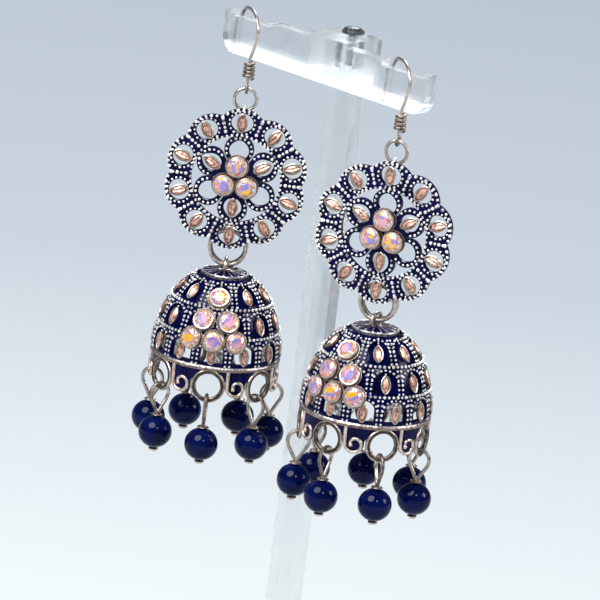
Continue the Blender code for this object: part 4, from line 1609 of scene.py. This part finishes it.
@dataclass
class Bell:
    """The bell with its stones, its rim rings and its bead drops."""

    side: Side
    maker: Maker
    sizes: BellSizes
    drop: DropSizes

    def around(self, patch: Patch, count: int, first: float = 0.0) -> Patch:
        """Copies of a surface round the bell, the first one set round by a share of the step."""
        return patch.placed(turns("Z", steps_round(count, first)))

    def arch(self, grow: float = 0.0) -> Array:
        """The outline of a cell's opening, in shares of half the cell.

        Args:
            grow: How far outside the opening.

        Returns:
            (n, 2) places, counted across and down the wall.
        """
        half, foot, spring = 0.70 + grow, 0.74 + grow, -0.10
        down = np.linspace(foot, spring, 24)
        left = columns(-half, down)
        sweep = np.linspace(math.pi, 0, 40)
        rise = (0.66 + grow) * np.sin(sweep) ** 1.15
        head = columns(half * np.cos(sweep), spring - rise)
        right = columns(half, down[::-1])
        return np.vstack([left, head, right])

    def row_range(self, row: int) -> tuple[float, float]:
        """A row's upper and lower shares, between its bands."""
        bands, half = self.sizes.bands, self.sizes.band_half
        return bands[row] + half * (row > 0), bands[row + 1] - half

    def row_start(self, row: int) -> float:
        """The first cell's angle as a share of the step: the middle row sits half a cell round."""
        return 0.5 * (row == 1)

    def on_cell(self, flat: Array, row: int, height: Array | float) -> Array:
        """Points over one cell of a row, at the bell's front.

        Args:
            flat: Places in shares of half the cell, across and down.
            row: The row.
            height: Heights out of the wall.

        Returns:
            The points.
        """
        top, foot = self.row_range(row)
        angle = flat[..., 0] * math.pi / self.sizes.cells[row]
        share = (top + foot) / 2 + flat[..., 1] * (foot - top) / 2
        return self.sizes.on_wall(angle, share, height)

    def lattice(self) -> Patch:
        """The pierced wall: three rows of arched cells and the bands between them.

        Returns:
            The closed surfaces.
        """
        sizes = self.sizes
        square = filled(np.array([(-1.0, -1.0), (1.0, -1.0), (1.0, 1.0), (-1.0, 1.0)]), 0.04)
        arch, centre = filled(self.arch(), 0.03), np.array([0.0, 0.1])
        cell = Opening(arch, square, centre, rim=0.085, rise=0.26, depth=sizes.wall, rays=88)
        flat, heights, tones = cell.section()
        tone = np.broadcast_to(tones, flat.shape[:2])
        pieces = []
        for row, count in enumerate(sizes.cells):
            points = self.on_cell(flat, row, heights)
            cell = Patch.grid(points, wrap_rows=True, wrap_columns=True, tone=tone)
            pieces.append(self.around(cell, count, self.row_start(row)))
        return Patch.joined([*pieces, *(self.band(share) for share in sizes.bands[1:])])

    def band(self, share: float) -> Patch:
        """A band round the wall: a low roll with a groove for its grains on each side.

        Args:
            share: Its place down the bell.

        Returns:
            The closed surface.
        """
        sizes = self.sizes
        last = share == sizes.bands[-1]
        half = sizes.band_half
        steps = np.array([-half, -0.55 * half, 0.0, 0.55 * half, half])
        shares = np.minimum(share + steps, 1.0)
        if last:
            shares[-1] = 1.0
        wall = sizes.on_wall(np.zeros(5), shares, np.array([0.05, 0.22, 0.3, 0.22, 0.05]))
        inside = sizes.on_wall(np.zeros(2), shares[[-1, 0]], np.full(2, -sizes.wall))
        section = np.vstack([wall, inside])
        profile = section[:, 1:] * [-1, 1]
        edge = 1.0 if last else 0.15
        return turned(profile, 144, closed=True, tone=[edge, edge, edge, edge, edge, 1.0, 1.0])

    def lining(self) -> Patch:
        """The enamelled floor behind the two upper rows, with the cap on top.

        Returns:
            The closed surface.
        """
        sizes = self.sizes
        shares = np.linspace(0.0, sizes.bands[2], 26)
        outer = sizes.on_wall(0 * shares, shares, np.full(26, -0.45))
        inner = sizes.on_wall(0 * shares, shares, np.full(26, -sizes.wall))[::-1]
        section = np.vstack([outer, inner])
        profile = section[:, 1:] * [-1, 1]
        profile = np.vstack([[0, sizes.cap_edge - 0.1], profile, [0, sizes.cap_edge - 1.2]])
        tone = np.concatenate([np.zeros(27), np.ones(27)])
        return turned(profile, 96, tone=tone)

    def cap(self) -> Patch:
        """The low cone on top, with radial ribs, and its rim.

        The cone's height swells with a high power of the cosine of fourteen times the angle.

        Returns:
            The closed surfaces.
        """
        sizes = self.sizes
        reach = np.linspace(0, 1, 12)[:, None]
        angle = steps_round(224)[None]
        rib = np.maximum(np.cos(14 * angle), 0) ** 6 * np.sin(math.pi * reach) ** 0.3
        height = sizes.cap_edge + 0.25 + (sizes.cap_rise - 0.2) * (1 - reach) + 0.16 * rib
        radius = sizes.cap_radius * reach
        top = columns(radius * np.sin(angle), -radius * np.cos(angle), height)
        base = top[-1:] - [0, 0, 0.9]
        foot = base * [0, 0, 1]
        tone = np.vstack([np.broadcast_to(rib, (12, 224)), np.full((2, 224), 0.9)])
        cone = Patch.grid(np.concatenate([top, base, foot]), wrap_columns=True, tone=tone)
        middle = (0, 0, sizes.cap_edge + 0.12)
        rim = wire_ring(sizes.cap_radius, 0.32, middle, "XY", 96).toned(1.0)
        return Patch.joined([cone, rim])

    def cell_grains(self) -> Patch:
        """The milgrain of the wall: round every arch, between the cells and along the bands.

        Returns:
            The grains.
        """
        sizes = self.sizes
        lines = []
        for row, count in enumerate(sizes.cells):
            first = self.row_start(row)
            rows = [(self.on_cell(self.arch(0.135)[24:-24], row, 0.08), 0.3, 3.5)]
            waist = float(sizes.outer(sum(self.row_range(row)) / 2))
            apart = 0.52 * count / (math.pi * waist)
            for across in (1 - apart, 1 + apart):
                column = columns(across, np.linspace(-0.84, 0.90, 20))
                rows.append((self.on_cell(column, row, 0.08), 0.3, 3.4))
            drop = columns(0, np.linspace(-0.93, -0.62, 6))
            rows.append((self.on_cell(drop, row, 0.05), 0.24, 3.3))
            for path, size, gap in rows:
                lines.append(self.around(milgrain(path, size, gap=gap), count, first))
        for share in sizes.bands[1:-1]:
            path = sizes.on_wall(steps_round(180), share, 0.3)
            lines.append(milgrain(path, 0.36, closed=True, gap=3.1))
        return Patch.joined(lines)

    def leaf_places(self) -> Array:
        """Where the leaves lie on the wall.

        Returns:
            (n, 4, 4) matrices.
        """
        sizes = self.sizes
        places = []
        for row, count in enumerate(sizes.cells):
            top, foot = self.row_range(row)
            share = np.full(count, top + (foot - top) * 0.58)
            angle = steps_round(count, self.row_start(row))
            places.append(sizes.mounted(angle, share))
        return np.concatenate(places) @ shifts([0, 0.45, 0])

    def stone_places(self) -> Array:
        """Where the six stones lie on the wall: one above two above three.

        Returns:
            (6, 4, 4) matrices.
        """
        shares = np.array([0.195, 0.43, 0.43, 0.65, 0.65, 0.65])
        angles = np.radians([0.0, -12.5, 12.5, -20.8, 0.0, 20.8])
        return self.sizes.mounted(angles, shares)

    def rim_ring(self) -> Patch:
        """One soldered ring under the rim, with grooves that make it look like two wires.

        Returns:
            The closed surface.
        """
        sizes = self.sizes
        middle = (0, -sizes.orbit, sizes.rim + sizes.ring_middle)
        return wire_ring(sizes.ring_radius, sizes.ring_wire / 2, middle, sides=20, groove=0.4)

    def web(self) -> Patch:
        """The enamelled plate between two rings, which fills what their round edges leave.

        At each depth its half width is what is left between the two rings' circles.

        Returns:
            The closed surface.
        """
        sizes = self.sizes
        orbit, middle = sizes.orbit, sizes.ring_middle
        down = np.linspace(sizes.web_top, sizes.web_foot, 30)[:, None]
        apart = orbit * math.pi / sizes.drops
        circle = np.sqrt(np.maximum((sizes.ring_radius + 0.1) ** 2 - (down - middle) ** 2, 0.04))
        below = np.minimum(down - sizes.curl_middle, 0.0)
        foot = np.sqrt(np.clip(sizes.curl_radius**2 - below**2, 0.0, None))
        depths = [sizes.web_foot, -3.0, -1.6, sizes.web_top]
        shoulder = np.interp(down, depths, [0.0, 0.0, 1.1, 3.4])
        half = np.minimum(apart - circle, foot + shoulder)
        across = np.linspace(-1, 1, 13)[None]
        angle = across * half / orbit
        sheets = []
        for radius, tone in ((orbit + 0.32, 0.0), (orbit - 0.35, 0.9)):
            place = columns(radius * np.sin(angle), -radius * np.cos(angle), sizes.rim + down)
            sheets.append((place, np.full((30, 13), tone)))
        points = np.concatenate([sheets[0][0], sheets[1][0][:, ::-1]], axis=1)
        tone = np.concatenate([sheets[0][1], sheets[1][1]], axis=1)
        ends = [row.mean(axis=1, keepdims=True) + 0 * row for row in (points[:1], points[-1:])]
        points = np.concatenate([ends[0], points, ends[1]])
        tone = np.concatenate([tone[:1], tone, tone[-1:]])
        return Patch.grid(points, wrap_columns=True, tone=tone)

    def scroll(self) -> Patch:
        """The silver scroll on a web: a stem from the rim that curls in to a small ball.

        The curl's radius shrinks evenly with its angle.

        Returns:
            The closed surfaces.
        """
        sizes = self.sizes
        orbit = sizes.orbit + 0.42
        around = np.linspace(math.pi, 3.1 * math.pi, 60)
        radius = np.linspace(sizes.curl_radius, 0.9, 60)
        down = sizes.curl_middle + radius * np.sin(around)
        curl = columns(0.1 + radius * np.cos(around), down)
        stem = smooth(np.array([(-2.3, -0.1), (-2.3, -1.4), (-2.25, -2.9), (-2.2, -3.9)]), 10)
        flat = np.vstack([stem[:-2], curl[1:]])
        angle = flat[:, 0] / orbit
        path = columns(orbit * np.sin(angle), -orbit * np.cos(angle), sizes.rim + flat[:, 1])
        wire = tube(path, np.linspace(0.46, 0.36, len(path)), (0, 1, 0), sides=12).toned(1.0)
        ball = grain(16, 9).placed(shifts(path[-1]) @ np.diag([0.55, 0.55, 0.55, 1.0]))
        return Patch.joined([wire, ball])

    def loop(self) -> Patch:
        """The loop on the cap that holds the bail rings.

        Returns:
            The closed surface.
        """
        sizes = self.sizes
        top = 0.55 + 2 * sizes.loop_wire
        half = (top - sizes.cap_edge) / 2
        middle = (0, 0, (top + sizes.cap_edge) / 2)
        stretch = half / sizes.loop_radius
        ring = wire_ring(sizes.loop_radius, sizes.loop_wire, middle, "YZ", 56, stretch, 14)
        return ring.toned(1.0)

    def pin(self) -> Patch:
        """A bead's pin, hanging from the origin: a kite-shaped loop, collar, shank and head.

        Returns:
            The closed surfaces.
        """
        bow, angles = self.drop.bow, np.radians(np.linspace(-25, 205, 7))
        arch = columns(bow * np.cos(angles), bow * np.sin(angles) - bow)
        kite = np.vstack([[0.0, -7.6], [1.15, -5.55], arch, [-1.15, -5.55], [0.0, -7.6]])
        flat = smooth(kite, 8)[:-1]
        path = columns(0, flat[:, 0], flat[:, 1])
        loop = tube(path, self.drop.loop_wire, (1, 0, 0), sides=10, closed=True)
        profile = [(0, -7.3), (0.4, -7.35), (1.25, -7.62), (1.45, -7.8), (1.2, -7.9)]
        profile += [(0.28, -7.9), (0.28, -16.05), (1.05, -16.08), (1.15, -16.2), (1.1, -16.5)]
        profile += [(0.7, -16.75), (0, -16.8)]
        return Patch.joined([loop, turned(np.array(profile), 24)])

    def bead(self) -> Patch:
        """A drilled round bead, with its top at the origin.

        Returns:
            The closed surface.
        """
        radius, half = self.drop.bead_radius, self.drop.bead_half_height
        start = math.asin(self.drop.hole / radius)
        down = np.linspace(start, math.pi - start, 26)
        profile = columns(radius * np.sin(down), half * (np.cos(down) - 1))
        return turned(profile, 40, closed=True)

    def build(self, finishes: Finishes) -> None:
        """Makes the bell and everything on it.

        Args:
            finishes: The materials.
        """
        sizes, name, piece = self.sizes, self.side.value, self.maker.piece
        shell = Patch.joined([self.lattice(), self.cap()])
        piece(f"{name}_bell_lattice", shell, finishes.enamel, Slot.ENAMEL, [f"{name}_bell"])
        piece(f"{name}_bell_lining", self.lining(), finishes.enamel, Slot.ENAMEL)
        piece(f"{name}_bell_grains", self.cell_grains(), finishes.grain, Slot.SILVER)
        places = self.leaf_places()
        length, width = sizes.leaf_size
        leaves = leaf(length, width, rise=1.0).placed(places)
        piece(f"{name}_bell_leaves", leaves, finishes.leaf, Slot.SILVER)
        edges = leaf_edge(length + 0.1, width + 0.1, wire=0.2, lift=0.7).placed(places)
        piece(f"{name}_bell_leaf_edges", edges, finishes.silver, Slot.SILVER)
        cups = Bezel(sizes.stone, wall=0.36, height=1.2).patch().placed(self.stone_places())
        piece(f"{name}_bell_bezels", cups, finishes.rosy, Slot.SILVER)
        stone = CutStone(sizes.stone, crown=0.55, girdle=0.12, pavilion=0.5).patch()
        gems = stone.placed(self.stone_places() @ shifts([0, -0.98, 0]))
        piece(f"{name}_bell_gems", gems, finishes.stone, Slot.CRYSTAL, flat=True)
        roll = (0, 0, sizes.rim + 0.45)
        rim = wire_ring(sizes.radius - 0.2, 0.5, roll, "XY", steps=144, sides=14)
        piece(f"{name}_bell_rim", rim, finishes.rosy, Slot.SILVER)
        rings = Patch.joined([self.around(self.rim_ring(), sizes.drops), self.loop()])
        piece(f"{name}_rim_rings", rings, finishes.silver, Slot.SILVER)
        webs = self.around(self.web(), sizes.drops, 0.5)
        piece(f"{name}_rim_webs", webs, finishes.enamel, Slot.ENAMEL)
        scrolls = self.around(self.scroll(), sizes.drops, 0.5)
        piece(f"{name}_rim_scrolls", scrolls, finishes.rosy, Slot.SILVER)
        ring_foot = sizes.rim + sizes.ring_middle - sizes.ring_radius + sizes.ring_wire / 2
        hang = ring_foot + self.drop.seat
        pin, bead = self.pin(), self.bead()
        for i, angle in enumerate(steps_round(sizes.drops), 1):
            hung = pin.placed(turns("Z", angle) @ shifts([0, -sizes.orbit, hang]))
            node = f"{name}_bead_pin_{i}"
            piece(f"{name}_drop_pin_{i}", hung, finishes.silver, Slot.SILVER, [node])
            under = shifts([0, -sizes.orbit, hang - self.drop.bead_top])
            hung = bead.placed(turns("Z", angle) @ under)
            piece(f"{name}_drop_bead_{i}", hung, finishes.bead, Slot.BEAD, [f"{name}_bead_{i}"])


@dataclass
class Earring:
    """One earring, hung where the frame's joints are."""

    side: Side
    rosette_turn: float
    bell_turn: float

    def maker(self, joint: str, body: str, turn: float) -> Maker:
        """A maker whose frame sits on a joint.

        Args:
            joint: The joint's name after the side's.
            body: The body that the pieces ride on.
            turn: The frame's turn about the plumb line.

        Returns:
            The maker.
        """
        places = {entry["name"]: entry["pos_m"] for entry in frame["joints"]}
        found = places[f"{self.side.value}_{joint}"]
        return Maker(body, Matrix.Translation(found) @ Matrix.Rotation(turn, 4, "Z"))

    def build(self, finishes: Finishes) -> None:
        """Makes the whole earring.

        Args:
            finishes: The materials.
        """
        links = Links()
        seat = self.maker("drop_swing", "root", 0.0)
        Hook(self.side, seat, links, self.rosette_turn).build(finishes)
        drop = self.maker("drop_swing", f"{self.side.value}_drop", self.rosette_turn)
        drop.place = drop.place @ Matrix.Translation(Vector(links.rosette_centre) * MM)
        Rosette(self.side, drop, links, RosetteSizes()).build(finishes)
        bell = self.maker("bell_swing", f"{self.side.value}_bell", self.bell_turn)
        Bell(self.side, bell, BellSizes(), DropSizes()).build(finishes)


class Stand:
    """The clear stand, whose solids are kept and finished."""

    def build(self, finishes: Finishes) -> None:
        """Gives the stand's solids their materials.

        Args:
            finishes: The materials.
        """
        for node, material in (
            ("stand_base", finishes.acrylic),
            ("stand_crossbar", finishes.bar),
            ("stand_post", finishes.post),
            ("stand_screw", finishes.screw),
        ):
            self.dress(node, material)

    def dress(self, node: str, material: bpy.types.Material) -> None:
        """Gives one solid its material, and its height as its tone.

        Args:
            node: The solid's name.
            material: The material.
        """
        solid = frame["nodes"][node]
        places = np.empty(3 * len(solid.data.vertices), np.float32)
        solid.data.vertices.foreach_get("co", places)
        world = np.array(solid.matrix_world)
        height = places.reshape(-1, 3) @ world[2, :3] + world[2, 3]
        tone = solid.data.attributes.new("tone", "FLOAT", "POINT")
        tone.data.foreach_set("value", height.astype(np.float32))
        solid.data.materials.clear()
        solid.data.materials.append(material)
        log.info("dressed %s", node)


@dataclass(frozen=True)
class PhotoCamera:
    """The camera, placed so that a known point falls on a known pixel."""

    azimuth: float = math.radians(42.5)
    elevation: float = math.radians(15)
    roll: float = math.radians(7)
    distance: float = 1.8
    metres_a_pixel: float = 0.236 * MM
    image: int = 600
    sensor: float = 36.0
    anchor_pixel: tuple[float, float] = (236.0, 177.0)

    def build(self, anchor: Vector) -> None:
        """Makes the camera.

        Args:
            anchor: The point that falls on the anchor pixel.
        """
        back = toward(self.azimuth, self.elevation)
        upright = back.to_track_quat("Z", "Y").to_matrix()
        turned_view = upright @ Matrix.Rotation(self.roll, 3, "Z")
        right, up = turned_view.col[0], turned_view.col[1]
        across = (self.anchor_pixel[0] - self.image / 2) * self.metres_a_pixel
        above = (self.image / 2 - self.anchor_pixel[1]) * self.metres_a_pixel
        target = anchor - right * across - up * above
        data = bpy.data.cameras.new("photo_camera")
        data.sensor_width = self.sensor
        data.lens = self.sensor * self.distance / (self.image * self.metres_a_pixel)
        data.clip_start = 0.05
        data.clip_end = 50.0
        camera = linked("photo_camera", data)
        place = Matrix.Translation(target + back * self.distance)
        camera.matrix_world = place @ turned_view.to_4x4()
        bpy.context.scene.camera = camera


@dataclass(frozen=True)
class SoftBox:
    """A round soft light that looks at the earrings."""

    name: str
    azimuth: float
    elevation: float
    distance: float
    side: float
    power: float
    colour: tuple[float, float, float] = (1.0, 1.0, 1.0)

    def build(self, target: Vector) -> None:
        """Makes the light.

        Args:
            target: What it looks at.
        """
        back = toward(math.radians(self.azimuth), math.radians(self.elevation))
        data = bpy.data.lights.new(self.name, "AREA")
        data.shape = "DISK"
        data.size = self.side
        data.energy = self.power
        data.color = self.colour
        light = linked(self.name, data)
        light.location = target + back * self.distance
        light.rotation_euler = back.to_track_quat("Z", "Y").to_euler()


@dataclass(frozen=True)
class Studio:
    """The floor, the lights and the sky."""

    lights: tuple[SoftBox, ...] = (
        SoftBox("key", 0, 50, 0.75, 0.60, 9.0),
        SoftBox("side", 125, 25, 0.70, 0.30, 2.4, (1.0, 0.96, 0.93)),
        SoftBox("rim", 215, 40, 0.80, 0.40, 3.5, (0.95, 0.97, 1.0)),
        SoftBox("front", 60, 38, 0.80, 0.14, 1.2),
    )
    sky: tuple[float, float, float] = (0.80, 0.86, 0.93)
    sky_strength: float = 0.2
    floor_side: float = 12.0
    middle: tuple[float, float, float] = (0.0, 0.0, 0.11)

    def build(self, finishes: Finishes) -> None:
        """Makes the studio.

        Args:
            finishes: The materials.
        """
        for light in self.lights:
            light.build(Vector(self.middle))
        world = bpy.data.worlds.new("studio")
        world.use_nodes = True
        background = world.node_tree.nodes["Background"].inputs
        background["Color"].default_value = (*self.sky, 1.0)
        background["Strength"].default_value = self.sky_strength
        bpy.context.scene.world = world
        half = self.floor_side / 2
        corners = [(-half, -half, 0.0), (half, -half, 0.0), (half, half, 0.0), (-half, half, 0.0)]
        mesh = bpy.data.meshes.new("floor")
        mesh.from_pydata(corners, [], [(0, 1, 2, 3)])
        mesh.materials.append(finishes.ground)
        linked("floor", mesh)
        bpy.context.scene.view_settings.view_transform = "Standard"


def rosette_anchor(side: Side) -> Vector:
    """The middle of a rosette in the frame."""
    low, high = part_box(f"{side.value}_rosette")
    return (low + high) / 2


def main() -> None:
    """Dresses the stand and both earrings."""
    logging.basicConfig(level=logging.INFO, format="%(name)s %(message)s")
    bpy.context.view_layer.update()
    finishes = Finishes.made()
    PhotoCamera().build(rosette_anchor(Side.LEFT))
    Studio().build(finishes)
    Stand().build(finishes)
    for side, rosette_turn, bell_turn in ((Side.LEFT, 41, 40), (Side.RIGHT, 23, 10)):
        Earring(side, math.radians(rosette_turn), math.radians(bell_turn)).build(finishes)


if __name__ == "__main__":
    main()
